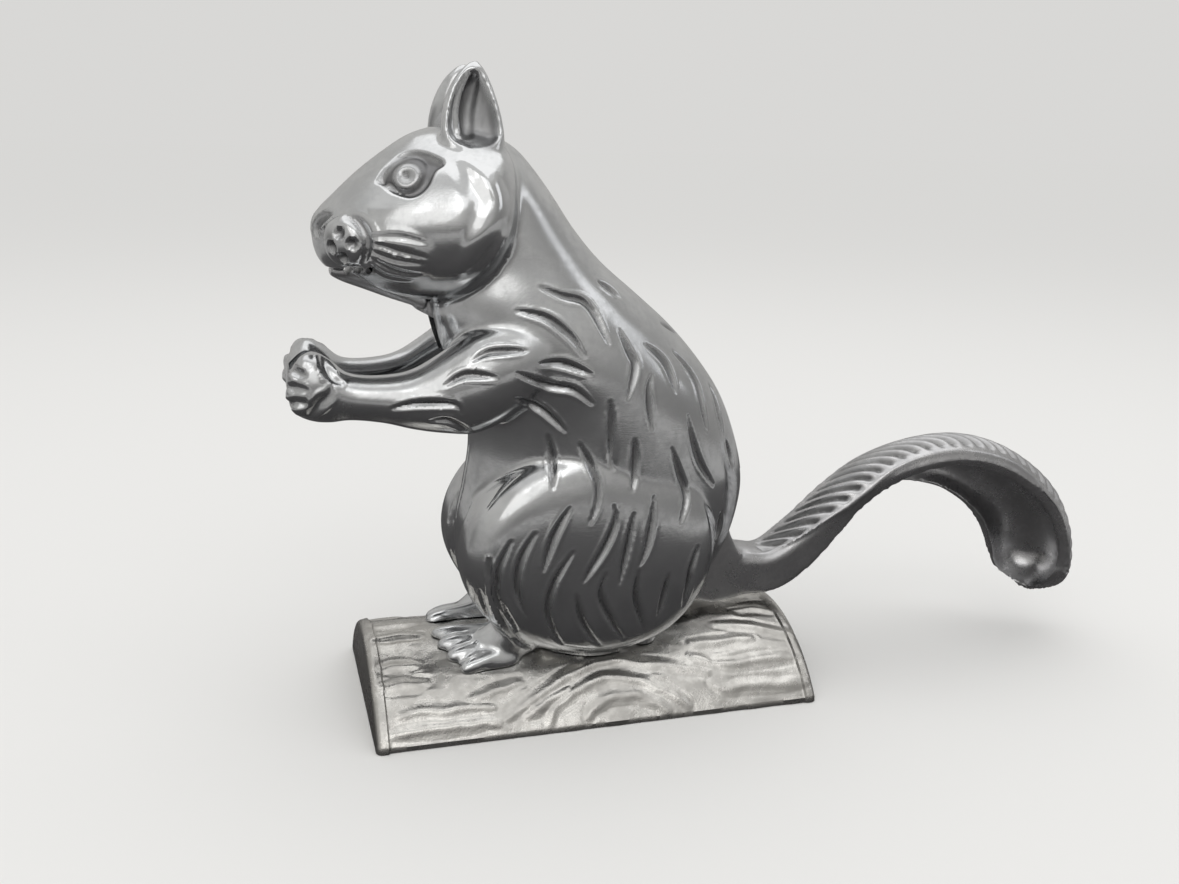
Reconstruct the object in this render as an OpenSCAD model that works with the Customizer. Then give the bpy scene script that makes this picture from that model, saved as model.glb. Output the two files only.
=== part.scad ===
// Lever nutcracker in the form of a squirrel on a half log.
// The origin is on the table under the middle of the log, +X runs from the nose to the tail and
// the squirrel's left side faces -Y. Heights of the figure are measured from the log's crown.

/* [Log] */
// Length of the log
log_length = 145; // [125:1:170]
// Width of the log across its lower edges
log_width = 80; // [74:1:92]
// Height of the log at its crown
log_height = 23; // [20:0.5:30]
// Wall of the hollow log
log_wall = 4; // [3:0.5:6]
// Upright edge along the foot of the log
log_edge = 2; // [1:0.5:4]
// Width of the raised bead at each end of the log
end_bead = 4; // [2:0.5:6]

/* [Figure] */
// Half width of the haunches
haunch_half = 32; // [29:0.5:36]
// Half width of the head at the cheeks
cheek_half = 30; // [26:0.5:33]
// Half width of the back and neck, as a share of the drawn one
trunk_fill = 1; // [0.92:0.01:1.05]
// Wall of the two half castings
wall = 3; // [2.5:0.25:4]
// Distance of the arms' centre lines from the middle
arm_spread = 17; // [15:0.5:20]
// Diameter of the bosses that take the screws
boss_d = 11; // [9:0.5:13]

/* [Lever] */
// Distance of the pivot behind the middle of the log
pivot_x = 5; // [2:0.5:9]
// Height of the pivot above the crown
pivot_z = 52; // [49:0.5:55]
// Diameter of the pivot pin
pin_d = 8; // [6:0.5:10]
// Length of the pivot pin
pin_length = 44; // [38:1:48]
// Thickness of the lever's root and hub
root_thick = 17; // [15:0.5:19]
// Thickness of the arm between hub and jaw
arm_thick = 11; // [9:0.5:13]
// Width of the lower jaw
jaw_width = 25; // [21:0.5:29]
// Width of the tail at the top of its arch
tail_width = 32; // [28:0.5:38]
// Metal of the tail's hollow
tail_wall = 4; // [3:0.25:5]
// Space at each side of the lever
side_gap = 0.3; // [0.2:0.05:0.6]

/* [Fixings] */
// Diameter of all screws
screw_d = 4; // [3:0.5:5]
// Diameter of the screw heads
head_d = 7; // [6:0.5:8]
// Height of the screw heads
head_h = 3; // [2:0.5:4]
// Radial space of the pin in the lever
pin_gap = 0.05; // [0.02:0.01:0.1]
// Radial space of the screws in their plain holes
screw_gap = 0.2; // [0.1:0.05:0.4]

/* [Hidden] */
$fn = 48;
alloy = [0.78, 0.79, 0.8];
steel = [0.62, 0.63, 0.65];

end_round = 2.5;
bead_rise = 0.5;
through = 1;
arch_r = (pow(log_width / 2, 2) + pow(log_height - log_edge, 2)) / (2 * (log_height - log_edge));
arch_z = log_height - arch_r;
function arch_at(y) = arch_z + sqrt(arch_r * arch_r - y * y);

// Screws through the parting plane: place along X, height above the crown, reach of the boss.
body_screw_at = [[-24, 134, 17.5], [27, 76, 20], [-22, 20, 21]];
// Screws up through the log, with the same place on both sides.
base_screw_x = [-10, 18];
base_screw_y = 15;
screw_bite = 12;
screw_tip = 3;
clamp = 6;
base_seat_z = 11;

// The muzzle is solid up to here.
muzzle_back = -60;
nape_wall = 2.2 * wall;
hub_wall = 6;
pin_boss_wall = 5;
pin_boss_reach = 27;
// Saw teeth of the jaw: the first gap's place along X, and the height that the gaps start from.
tooth_count = 4;
tooth_pitch = 2.8;
tooth_depth = 1.8;
first_tooth = -75.6;
tooth_line = 118;
tooth_rise = 0.4;
tip_sections = 6;
toe_r = 2.6;
toe_count = 4;
toe_length = 10;
toe_gap = 4.4;
first_toe_y = 11;
figure_span = 400;
// Trunk and neck: height, front, back, half width.
trunk_rows = [
  [-14, -8, 13, 17], [-6, -21, 24, 23], [3, -33, 35, 27], [12, -38.5, 44, 29],
  [24, -41.5, 51.5, 30], [36, -41.5, 55.5, 30], [48, -39, 56.5, 29.5], [62, -37, 53, 29],
  [76, -38.5, 47, 29], [88, -45, 38.5, 29], [99, -49, 28.5, 27.5], [109, -50.5, 17, 25],
  [119, -47, 5, 22.5], [129, -46, -4, 21], [139, -47, -11, 19.5], [147, -47, -17, 16.5],
  [153, -46, -22.5, 11.5], [157, -42, -29, 4]];
// Head: height, nose side, nape side, half width as a share of the cheeks.
head_rows = [
  [108, -62, -39, 0.32], [111, -70, -35, 0.6], [115, -76, -31, 0.78], [120, -82, -27.5, 0.91],
  [127, -84, -24.5, 0.99], [133, -83, -23.5, 1], [139, -77.3, -23.5, 0.95], [146, -69.8, -24, 0.84],
  [152, -62, -26, 0.66], [156.5, -55, -30, 0.43], [159, -48, -37, 0.15]];
// The head is widest a little behind its middle, by this share of its length.
head_skew = 0.38;
// Haunch: outline centre, half axes to the knee, to the back and up, slope of the long axis.
haunch_at = [5.5, 31];
haunch_axes = [48.5, 35, 36];
haunch_tilt = 7;
// How far the haunch sinks into the back at its upper rear, as a share of its depth.
haunch_sink = 0.12;
sink_way = 50;
// Arm: place along X, height, half height, half depth, share of the spread.
arm_rows = [
  [-93.5, 82.8, 4, 4, 0.66], [-91.5, 83.3, 7.5, 6.5, 0.67], [-86.5, 84.2, 10.5, 8, 0.7],
  [-80.7, 82.8, 9.5, 8, 0.74], [-75, 81, 7, 7.2, 0.8], [-65.4, 80.2, 7.2, 7.6, 0.88],
  [-57, 80, 9, 8.5, 0.95], [-48, 82, 12.3, 9.6, 1.02], [-38, 85.3, 15.8, 11, 1.06],
  [-26, 89.8, 15, 11.5, 1.05], [-15, 93, 10, 9.5, 1.02], [-8, 95, 3, 5, 1]];
// Ear: height, place along X, half length, half depth, distance from the middle.
ear_rows = [
  [146, -37.7, 7, 4, 16], [152, -38, 9, 5, 14.5], [158, -38, 9.3, 5.4, 13], [165, -38.1, 8.2, 5, 11.4],
  [171, -37.8, 6, 4, 10.2], [175, -37.2, 3.6, 2.6, 9.4], [177.6, -36.4, 0.9, 0.9, 9]];
// Tail: place along X, height of the spine, width share, depth, hollow share, roll to the near side.
tail_rows = [
  [52, 22, 0, 19, 0, 0], [60, 20.5, 0, 17.5, 0, 0], [68, 19.5, 0, 15, 0, 0], [76, 24.5, 0.1, 13.5, 0, 0],
  [84, 32, 0.3, 13, 0.1, 4], [93, 40, 0.5, 12.5, 0.3, 9], [105, 48.5, 0.7, 13, 0.7, 16],
  [120, 54, 0.9, 14, 0.95, 24], [137, 55.5, 1, 15, 1, 29], [153, 52, 1, 15.5, 1, 31],
  [168, 44, 1, 16, 1, 33], [180, 33.5, 1, 16.5, 1, 34], [188, 20.5, 1, 17, 1, 32],
  [191.5, 8, 0.95, 17, 1, 28], [191.6, 3, 0.9, 17.5, 1, 26], [190.6, -1.5, 0.65, 17, 0.95, 24],
  [188.6, -5, 0.15, 13.5, 0.7, 20], [185, -7.8, -0.75, 6, 0, 14]];
// Lower jaw: place along X, top, bottom, share of the width.
jaw_rows = [
  [-79, 117.5, 115.5, 0.3], [-75.5, 118, 113.6, 0.62], [-69, 118, 111.2, 0.86],
  [-62, 115, 108.6, 0.98], [-56, 112.2, 106.6, 1], [-51.5, 110.4, 105, 0.9]];

// Smooth value of column c of a table at the running position s, which counts its rows.
function smooth_at(rows, c, s) =
  let (last = len(rows) - 1)
  let (i = min(floor(s), last - 1))
  let (t = s - i)
  let (a = rows[max(i - 1, 0)][c])
  let (b = rows[i][c])
  let (d = rows[i + 1][c])
  let (e = rows[min(i + 2, last)][c])
  b + 0.5 * t * (d - a + t * (2 * a - 5 * b + 4 * d - e + t * (3 * (b - d) + e - a)));
function refined(rows, step) =
  [for (s = [0 : step : len(rows) - 1 + step / 2])
    [for (c = [0 : len(rows[0]) - 1]) smooth_at(rows, c, min(s, len(rows) - 1))]];

// Faces that close a ring of n points, which starts at point k, with strips across it.
function lid(n, k, flip) =
  [for (j = [0 : floor((n - 1) / 2) - 1])
    let (a = k + j)
    let (b = k + n - 1 - j)
    each concat(
      [flip ? [b, a + 1, a] : [a, a + 1, b]],
      b - 1 > a + 1 ? [flip ? [b, b - 1, a + 1] : [a + 1, b - 1, b]] : [])];
// Solid through rings that all have the same number of points.
module loft(rings) {
  n = len(rings[0]);
  m = len(rings);
  sides = [for (i = [0 : m - 2], j = [0 : n - 1])
    let (a = i * n + j)
    let (b = i * n + (j + 1) % n)
    each [[a, b, b + n], [a, b + n, a + n]]];
  polyhedron([for (r = rings) each r], concat(sides, lid(n, 0, true), lid(n, (m - 1) * n, false)));
}

// Ring of a level cut: half of an oval whose flat side lies in the parting plane.
// A skew moves its widest place towards x1.
function half_ring(x0, x1, w, z, n, skew) =
  [for (j = [0 : n]) let (t = 180 * j / n)
    [(x0 + x1) / 2 + (x1 - x0) / 2 * (cos(t) + skew * pow(sin(t), 2)), -w * sin(t), z]];
// The same oval drawn full and smaller, for what is hollow.
function full_ring(x0, x1, w, z, n, skew) =
  [for (j = [0 : n - 1]) let (t = 360 * j / n)
    [(x0 + x1) / 2 + (x1 - x0) / 2 * (cos(t) + skew * pow(sin(t), 2)), -w * sin(t), z]];

module trunk_solid() {
  loft([for (r = refined(trunk_rows, 0.5)) half_ring(r[1], r[2], r[3] * trunk_fill, r[0], 16, 0)]);
}
module trunk_hollow() {
  inner = [for (i = [0 : len(trunk_rows) - 3]) trunk_rows[i]];
  loft([for (r = refined(inner, 1))
    full_ring(r[1] + wall, r[2] - wall, r[3] * trunk_fill - wall, r[0], 22, 0)]);
}
module head_solid() {
  loft([for (r = refined(head_rows, 0.5))
    half_ring(r[1], r[2], r[3] * cheek_half, r[0], 18, head_skew)]);
}
// The muzzle stays solid, because the nut is pressed against it.
module head_hollow() {
  inner = [for (i = [0 : len(head_rows) - 4]) head_rows[i]];
  loft([for (r = refined(inner, 1))
    full_ring(max(r[1] + wall, muzzle_back), r[2] - nape_wall, r[3] * cheek_half - wall, r[0], 22,
      head_skew)]);
}
// Raised haunch: rings run from its outline to the middle of the cheek of the thigh.
module haunch() {
  steps = [[1, 0.3], [1, 0.66], [0.96, 0.79], [0.86, 0.9], [0.68, 0.96], [0.42, 0.99], [0.15, 1]];
  translate([haunch_at[0], 0, haunch_at[1]])
    rotate([0, -haunch_tilt, 0])
      loft([for (s = steps) [for (j = [0 : 31])
        let (t = -360 * j / 32)
        let (reach = cos(t) < 0 ? haunch_axes[0] : haunch_axes[1])
        let (sink = 1 - haunch_sink * pow(s[0] * max(cos(t - sink_way), 0), 2))
        [reach * s[0] * cos(t), -haunch_half * s[1] * sink, haunch_axes[2] * s[0] * sin(t)]]]);
}

function arm_ring(r, shrink, shift, n) =
  [for (j = [0 : n - 1]) let (t = 360 * j / n)
    [r[0], -arm_spread * r[4] + shift - (r[3] - shrink) * cos(t), r[1] + (r[2] - shrink) * sin(t)]];
module arm_solid() {
  loft([for (r = refined(arm_rows, 0.5)) arm_ring(r, 0, 0, 18)]);
}
// The inner side of the arm is scooped out.
module arm_hollow() {
  inner = [for (i = [1 : len(arm_rows) - 4]) arm_rows[i]];
  loft([for (r = refined(inner, 1)) arm_ring(r, wall, wall * 1.6, 14)]);
}

function ear_ring(r, shrink, shift, n) =
  [for (j = [0 : n - 1]) let (t = 360 * j / n)
    [r[1] + max(r[2] - shrink, 0.3) * cos(t),
     -r[4] - shift - max(r[3] - shrink / 2, 0.3) * sin(t), r[0]]];
module ear() {
  inner = [for (i = [1 : len(ear_rows) - 2]) ear_rows[i]];
  difference() {
    loft([for (r = refined(ear_rows, 0.5)) ear_ring(r, 0, 0, 16)]);
    loft([for (r = refined(inner, 1)) ear_ring(r, wall / 2, wall, 14)]);
  }
}

// Foot with four toes that lie on the log.
module foot() {
  for (i = [0 : toe_count - 1])
    let (y = first_toe_y + toe_gap * i)
      translate([-42, -y, arch_at(y) - log_height + toe_r - 0.6])
        rotate([0, -92, 8 - 7 * i]) {
          cylinder(r = toe_r, h = toe_length, $fn = 20);
          translate([0, 0, toe_length]) sphere(r = toe_r, $fn = 20);
        }
  translate([-44, -17, arch_at(17) - log_height + 3])
    rotate([14, 88, 0])
      cylinder(r1 = 4.6, r2 = 7.6, h = 20, $fn = 24);
}

module cross_hole(at, r, y0, y1) {
  translate([at[0], y1, at[1]])
    rotate([90, 0, 0])
      cylinder(r = r, h = y1 - y0);
}

// Space that the lever sweeps between the two halves.
module lever_space() {
  half_front = arm_thick / 2 + side_gap * 3;
  half_back = root_thick / 2 + side_gap * 3;
  front = [[-62, 118], [-30, 118], [6, 70], [10, 52], [0, 44], [-8, 44], [-40, 73.5], [-60, 78]];
  back = [[8, 62], [44, 62], [60, 44], [75, 44], [75, -20], [30, -20], [8, 30]];
  translate([0, half_front, 0])
    rotate([90, 0, 0])
      linear_extrude(2 * half_front) polygon(front);
  translate([0, half_back, 0])
    rotate([90, 0, 0])
      linear_extrude(2 * half_back) polygon(back);
}
// Mouth: all below the line of the teeth, as wide as the jaw.
module mouth() {
  half = jaw_width / 2 + side_gap * 2;
  translate([0, half, 0])
    rotate([90, 0, 0])
      linear_extrude(2 * half)
        polygon([[-90, 104], [-90, 118.3], [-66.5, 118.3], [-50.5, 110.8], [-50.5, 104]]);
}

// One half of the figure, the near one, with its height above the crown.
module half_figure() {
  hub_face = root_thick / 2 + side_gap;
  difference() {
    union() {
      difference() {
        union() {
          trunk_solid();
          head_solid();
          haunch();
          arm_solid();
        }
        trunk_hollow();
        head_hollow();
        arm_hollow();
      }
      ear();
      foot();
      cross_hole([pivot_x, pivot_z], pin_d / 2 + pin_boss_wall, -pin_boss_reach, -hub_face);
      for (p = body_screw_at)
        cross_hole(p, boss_d / 2, -p[2], 0);
      for (x = base_screw_x)
        translate([x, -base_screw_y, -12]) cylinder(d = boss_d, h = 12 + screw_bite);
    }
    lever_space();
    mouth();
    cross_hole([pivot_x, pivot_z], pin_d / 2, -pin_length / 2, through);
    for (x = base_screw_x)
      translate([x, -base_screw_y, -log_height])
        cylinder(d = screw_d, h = log_height + screw_bite - screw_tip);
    translate([-figure_span / 2, 0, arch_z - log_height])
      rotate([0, 90, 0])
        cylinder(r = arch_r - bead_rise, h = figure_span, $fn = 96);
    translate([-figure_span / 2, -figure_span, -figure_span - 14])
      cube([figure_span, figure_span + through, figure_span]);
  }
}

module body_left() {
  color(alloy)
    translate([0, 0, log_height])
      difference() {
        half_figure();
        for (p = body_screw_at)
          cross_hole(p, screw_d / 2, -screw_bite, through);
      }
}

module body_right() {
  color(alloy)
    translate([0, 0, log_height])
      difference() {
        mirror([0, 1, 0]) half_figure();
        for (p = body_screw_at) {
          cross_hole(p, screw_d / 2 + screw_gap, -through, clamp + through);
          cross_hole(p, head_d / 2 + screw_gap, clamp, 2 * haunch_half);
        }
      }
}

// The log is turned about its own axis and cut flat: half section with rounded end beads.
module log_base() {
  half = log_length / 2;
  groove = half - end_bead - bead_rise;
  color(alloy)
    difference() {
      log_turned(concat(
        [[-half, 0], [half, 0]],
        bead_corner(0, half - end_round),
        [[half - end_bead, arch_r], [groove, arch_r - bead_rise], [-groove, arch_r - bead_rise],
         [-half + end_bead, arch_r]],
        bead_corner(90, -half + end_round)), 0, 0);
      difference() {
        log_turned([[-half + log_wall, 0], [half - log_wall, 0], [half - log_wall, arch_r - log_wall],
          [-half + log_wall, arch_r - log_wall]], log_wall, through);
        for (x = base_screw_x, side = [-1, 1])
          translate([x, side * base_screw_y, base_seat_z]) cylinder(d = boss_d, h = log_height);
      }
      for (x = base_screw_x, side = [-1, 1])
        translate([x, side * base_screw_y, -through])
          cylinder(r = screw_d / 2 + screw_gap, h = log_height + 2 * through);
    }
}
function bead_corner(start, x) =
  [for (t = [start : 22.5 : start + 90])
    [x + end_round * cos(t), arch_r - end_round + end_round * sin(t)]];
// A half section turned about the log's axis, between its sides and above the table.
module log_turned(section, inset, below) {
  intersection() {
    translate([0, 0, arch_z])
      rotate([0, 90, 0])
        rotate_extrude($fn = 96) polygon([for (p = section) [p[1], p[0]]]);
    translate([-log_length, -log_width / 2 + inset, -below])
      cube([2 * log_length, log_width - 2 * inset, log_height * 2]);
  }
}

// Direction of the tail's spine from the neighbouring rows. Sections of the tip stay parallel.
function tail_tangent(rows, i) =
  let (k = min(i, len(rows) - 1 - tip_sections))
  let (a = rows[max(k - 1, 0)])
  let (b = rows[k + 1])
  let (d = [b[0] - a[0], b[1] - a[1]])
  d / norm(d);
// Section of the tail: a rounded top and a hollow underside, rolled about its middle.
function tail_ring(rows, i, n) =
  let (r = rows[i])
  let (d = tail_tangent(rows, i))
  let (up = [-d[1], d[0]])
  let (half = (root_thick + (tail_width - root_thick) * r[2]) / 2)
  let (hollow = max(r[4] * (r[3] - tail_wall), 0))
  let (inner = half - tail_wall * 0.8)
  [for (j = [0 : 2 * n - 1])
    let (top = j < n)
    let (t = 180 * (top ? j : j - n) / (n - 1))
    let (dome = pow(sin(t), 1 - 0.35 * r[2]))
    let (y = top ? -half * cos(t) : inner * cos(t))
    let (rise = top ? r[3] * (0.5 - (1 - dome) * (0.3 + 0.6 * r[2])) : hollow * dome - r[3] / 2)
    let (side = y * cos(r[5]) + rise * sin(r[5]))
    let (lift = rise * cos(r[5]) - y * sin(r[5]) - r[3] / 2)
    [r[0] + up[0] * lift, side, r[1] + up[1] * lift]];

module tail_lever() {
  rows = refined(tail_rows, 0.5);
  front_arm = [[-2, 44], [-8, 50], [-30, 88], [-42, 99], [-54, 105.4], [-54, 110.4], [-44, 109.5],
    [-30, 103], [-12, 82], [8, 58]];
  root_arm = [[-1, 43], [14, 40], [30, 22], [40, 4], [48, 2], [60, 2.4], [63, 4], [66, 19], [57, 21.5],
    [52, 28], [38, 40], [18, 62], [4, 62]];
  color(alloy)
    translate([0, 0, log_height])
      difference() {
        union() {
          loft([for (i = [3 : len(rows) - 1]) tail_ring(rows, i, 9)]);
          translate([0, root_thick / 2, 0])
            rotate([90, 0, 0])
              linear_extrude(root_thick) polygon(root_arm);
          translate([0, arm_thick / 2, 0])
            rotate([90, 0, 0])
              linear_extrude(arm_thick) polygon(front_arm);
          cross_hole([pivot_x, pivot_z], pin_d / 2 + hub_wall, -root_thick / 2, root_thick / 2);
          jaw();
        }
        cross_hole([pivot_x, pivot_z], pin_d / 2 + pin_gap, -root_thick, root_thick);
      }
}
// Lower jaw: a shallow scoop with saw teeth across its front.
module jaw() {
  difference() {
    loft([for (r = refined(jaw_rows, 0.5)) [for (j = [0 : 15]) let (t = 360 * j / 16)
      [r[0], -jaw_width / 2 * r[3] * cos(t),
       sin(t) > 0 ? r[1] : r[1] + (r[2] - r[1]) * pow(-sin(t), 0.7)]]]);
    for (i = [0 : tooth_count - 1])
      translate([first_tooth + i * tooth_pitch, jaw_width, tooth_line])
        rotate([90, 0, 0])
          linear_extrude(2 * jaw_width)
            polygon([[-tooth_pitch / 2, tooth_rise], [0, -tooth_depth], [tooth_pitch / 2, tooth_rise]]);
  }
}

module pivot_pin() {
  color(steel)
    translate([0, 0, log_height])
      cross_hole([pivot_x, pivot_z], pin_d / 2, -pin_length / 2, pin_length / 2);
}
module body_screws() {
  color(steel)
    translate([0, 0, log_height])
      for (p = body_screw_at) {
        cross_hole(p, screw_d / 2, -screw_bite, clamp);
        cross_hole(p, head_d / 2, clamp, clamp + head_h);
      }
}
module base_screws() {
  color(steel)
    for (x = base_screw_x, side = [-1, 1])
      translate([x, side * base_screw_y, 0]) {
        translate([0, 0, base_seat_z])
          cylinder(d = screw_d, h = log_height + screw_bite - screw_tip - base_seat_z);
        translate([0, 0, base_seat_z - head_h]) cylinder(d = head_d, h = head_h);
      }
}

log_base();
body_left();
body_right();
tail_lever();
pivot_pin();
body_screws();
base_screws();
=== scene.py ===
# Squirrel nutcracker on a half log, cast in bright alloy: skins, finishes, light and camera.
# Shapes are drawn in millimetres and turned into metres when a piece is finished.
import math
import bpy
import bmesh
import numpy as np
from mathutils import Matrix, Vector, noise
from mathutils.bvhtree import BVHTree
from mathutils.kdtree import KDTree


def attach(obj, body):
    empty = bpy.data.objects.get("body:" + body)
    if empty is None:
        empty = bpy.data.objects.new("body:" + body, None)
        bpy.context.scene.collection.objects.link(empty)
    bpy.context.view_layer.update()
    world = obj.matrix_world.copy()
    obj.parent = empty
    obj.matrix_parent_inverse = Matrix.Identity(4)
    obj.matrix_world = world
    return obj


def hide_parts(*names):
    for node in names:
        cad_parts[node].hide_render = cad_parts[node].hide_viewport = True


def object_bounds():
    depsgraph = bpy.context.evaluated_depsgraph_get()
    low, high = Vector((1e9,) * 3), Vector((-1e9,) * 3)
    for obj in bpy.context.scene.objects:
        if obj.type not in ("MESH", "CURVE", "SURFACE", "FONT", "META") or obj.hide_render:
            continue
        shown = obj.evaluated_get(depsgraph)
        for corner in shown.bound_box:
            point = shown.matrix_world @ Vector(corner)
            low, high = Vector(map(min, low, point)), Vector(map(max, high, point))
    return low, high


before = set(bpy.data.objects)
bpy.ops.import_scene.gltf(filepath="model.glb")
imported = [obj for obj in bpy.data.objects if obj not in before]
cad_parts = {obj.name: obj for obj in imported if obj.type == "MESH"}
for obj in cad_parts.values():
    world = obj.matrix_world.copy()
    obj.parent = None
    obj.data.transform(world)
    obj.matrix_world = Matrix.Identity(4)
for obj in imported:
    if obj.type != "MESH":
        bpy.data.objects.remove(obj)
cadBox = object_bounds()
scene = bpy.context.scene
archRadius, archMiddle = 48.6, -25.6  # round top of the log, and the height of its axis
crown = 23.0  # height of the log's crown, from which the figure is drawn
pivot = (5, 52)  # the pin: place along X, height above the crown
bodyScrewPlaces = [(-24, 134, 17.5), (27, 76, 20), (-22, 20, 21)]  # along X, height, reach of the boss
baseScrewPlaces = [(x, y) for x in (-10, 18) for y in (-15, 15)]
baseSeat = 11.0  # height of the seats of the screws under the log
bossRadius = 5.5
jawTeeth = (-74.2, -71.4, -68.6, -65.8)  # the saw gaps, along X

# The photograph's camera: place in millimetres, turns in degrees, size of the picture in pixels.
photoView = {"place": (-102.68, -351.93, 178.45), "yaw": -16.77, "pitch": 14.61, "roll": 1.38,
             "lens": 35.115, "sensor": 36.0, "width": 1179, "height": 884}


def viewAxes():
    yaw, pitch, roll = (math.radians(photoView[k]) for k in ("yaw", "pitch", "roll"))
    ahead = Vector((-math.sin(yaw) * math.cos(pitch), math.cos(yaw) * math.cos(pitch),
                    -math.sin(pitch)))
    right = Vector((math.cos(yaw), math.sin(yaw), 0))
    up = right.cross(ahead)
    return (math.cos(roll) * right + math.sin(roll) * up,
            math.cos(roll) * up - math.sin(roll) * right, ahead)


viewRight, viewUp, viewAhead = viewAxes()
viewPlace = Vector(photoView["place"])
focalPixels = photoView["lens"] / photoView["sensor"] * photoView["width"]


def addCamera():
    data = bpy.data.cameras.new("photoCamera")
    data.sensor_fit, data.sensor_width, data.lens = "HORIZONTAL", photoView["sensor"], photoView["lens"]
    data.clip_start = 0.01
    cam = bpy.data.objects.new("photoCamera", data)
    turn = Matrix((viewRight, viewUp, -viewAhead)).transposed().to_4x4()
    cam.matrix_world = Matrix.Translation(viewPlace * 0.001) @ turn
    scene.collection.objects.link(cam)
    scene.camera = cam


addCamera()
print("camera is set")


# Where points of the figure, in millimetres, lie in the photograph.
def onPhoto(points):
    away = np.asarray(points) - np.array(viewPlace)
    deep = away @ np.array(viewAhead)
    across = away @ np.array(viewRight) / deep * focalPixels + photoView["width"] / 2
    down = -(away @ np.array(viewUp)) / deep * focalPixels + photoView["height"] / 2
    return np.stack([across, down], 1)


# The place on a skin that a pixel of the photograph shows.
def traced(tree, pixel):
    way = (viewAhead + viewRight * ((pixel[0] - photoView["width"] / 2) / focalPixels)
           - viewUp * ((pixel[1] - photoView["height"] / 2) / focalPixels))
    return tree.ray_cast(viewPlace, way.normalized())[0]


# A smooth curve through the rows of a table, in steps between each two rows.
def smoothRows(rows, perStep):
    rows = np.array(rows, float)
    last = len(rows) - 1
    at = np.linspace(0, last, last * perStep + 1)
    i = np.minimum(at.astype(int), last - 1)
    t = (at - i)[:, None]
    a, b, c, d = (rows[np.clip(i + k, 0, last)] for k in (-1, 0, 1, 2))
    return b + 0.5 * t * (c - a + t * (2 * a - 5 * b + 4 * c - d + t * (3 * (b - c) + d - a)))


def newPiece(name, verts, faces):
    mesh = bpy.data.meshes.new(name)
    mesh.from_pydata([tuple(v) for v in verts], [], faces)
    shape = bmesh.new()
    shape.from_mesh(mesh)
    bmesh.ops.recalc_face_normals(shape, faces=shape.faces)
    shape.to_mesh(mesh)
    shape.free()
    piece = bpy.data.objects.new(name, mesh)
    scene.collection.objects.link(piece)
    return piece


# Closed skin through rings of points, one array of shape (rings, points, 3).
def lofted(name, rings):
    m, n, _ = rings.shape
    faces = [(i * n + j, i * n + (j + 1) % n, (i + 1) * n + (j + 1) % n, (i + 1) * n + j)
             for i in range(m - 1) for j in range(n)]
    faces += [(m * n, (j + 1) % n, j) for j in range(n)]
    faces += [(m * n + 1, (m - 1) * n + j, (m - 1) * n + (j + 1) % n) for j in range(n)]
    verts = np.concatenate([rings.reshape(-1, 3), rings[:1].mean(1), rings[-1:].mean(1)])
    return newPiece(name, verts, faces)


# Plate with an outline drawn in the side view, between two values of Y.
def plate(name, outline, y0, y1):
    n = len(outline)
    verts = [(x, y, z + crown) for y in (y0, y1) for x, z in outline]
    faces = [tuple(range(n)), tuple(range(2 * n - 1, n - 1, -1))]
    faces += [(j, (j + 1) % n, n + (j + 1) % n, n + j) for j in range(n)]
    return newPiece(name, verts, faces)


# Round bar between two points, or a round tapering limb through several.
def limb(name, path, radii, around=40, steps=8, domed=True):
    path, radii = smoothRows(path, steps), smoothRows([[r] for r in radii], steps)[:, 0]
    if domed:
        first, last = path[0] - path[1], path[-1] - path[-2]
        first, last = first / np.linalg.norm(first), last / np.linalg.norm(last)
        bend = np.radians([80, 60, 40, 20])
        head = [path[0] + first * radii[0] * math.sin(b) for b in bend]
        foot = [path[-1] + last * radii[-1] * math.sin(b) for b in bend[::-1]]
        path = np.concatenate([head, path, foot])
        radii = np.concatenate([radii[0] * np.cos(bend), radii, radii[-1] * np.cos(bend[::-1])])
    ways = np.gradient(path, axis=0)
    ways /= np.linalg.norm(ways, axis=1)[:, None]
    side = np.cross(ways, (0.0, 0.31, 1.0))
    side /= np.linalg.norm(side, axis=1)[:, None]
    over = np.cross(side, ways)
    t = np.linspace(0, 2 * math.pi, around, endpoint=False)
    rings = (path[:, None] + radii[:, None, None]
             * (side[:, None] * np.cos(t)[None, :, None] + over[:, None] * np.sin(t)[None, :, None]))
    return lofted(name, rings)


def bar(name, at, radius, y0, y1, around=48):
    x, z = at
    return limb(name, [(x, y0, z + crown), (x, y1, z + crown)], [radius, radius], around, 1, False)


# Upright boss of a screw, between two heights.
def post(name, x, y, low, high):
    return limb(name, [(x, y, low), (x, y, high)], [bossRadius, bossRadius], 48, 1, False)


# Round bar along the axis of the log's top.
def lyingRound(name, half, radius, around):
    return limb(name, [(-half, 0, archMiddle), (half, 0, archMiddle)], [radius, radius], around, 1, False)


def withModifiers(piece):
    deps = bpy.context.evaluated_depsgraph_get()
    mesh = bpy.data.meshes.new_from_object(piece.evaluated_get(deps), depsgraph=deps)
    old = piece.data
    piece.modifiers.clear()
    piece.data = mesh
    bpy.data.meshes.remove(old)
    return piece


def drop(*pieces):
    for piece in pieces:
        mesh = piece.data
        bpy.data.objects.remove(piece)
        bpy.data.meshes.remove(mesh)


# Cuts tools away from a piece, or adds them to it.
def worked(piece, tools, how):
    for tool in tools:
        cut = piece.modifiers.new("cut", "BOOLEAN")
        cut.operation, cut.solver, cut.object = how, "MANIFOLD", tool
        withModifiers(piece)
    drop(*tools)
    return piece


# Several forms in one piece, each still closed by itself.
def joined(name, forms):
    whole = bmesh.new()
    for form in forms:
        whole.from_mesh(form.data)
    drop(*forms)
    mesh = bpy.data.meshes.new(name)
    whole.to_mesh(mesh)
    whole.free()
    piece = bpy.data.objects.new(name, mesh)
    scene.collection.objects.link(piece)
    return piece


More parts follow.
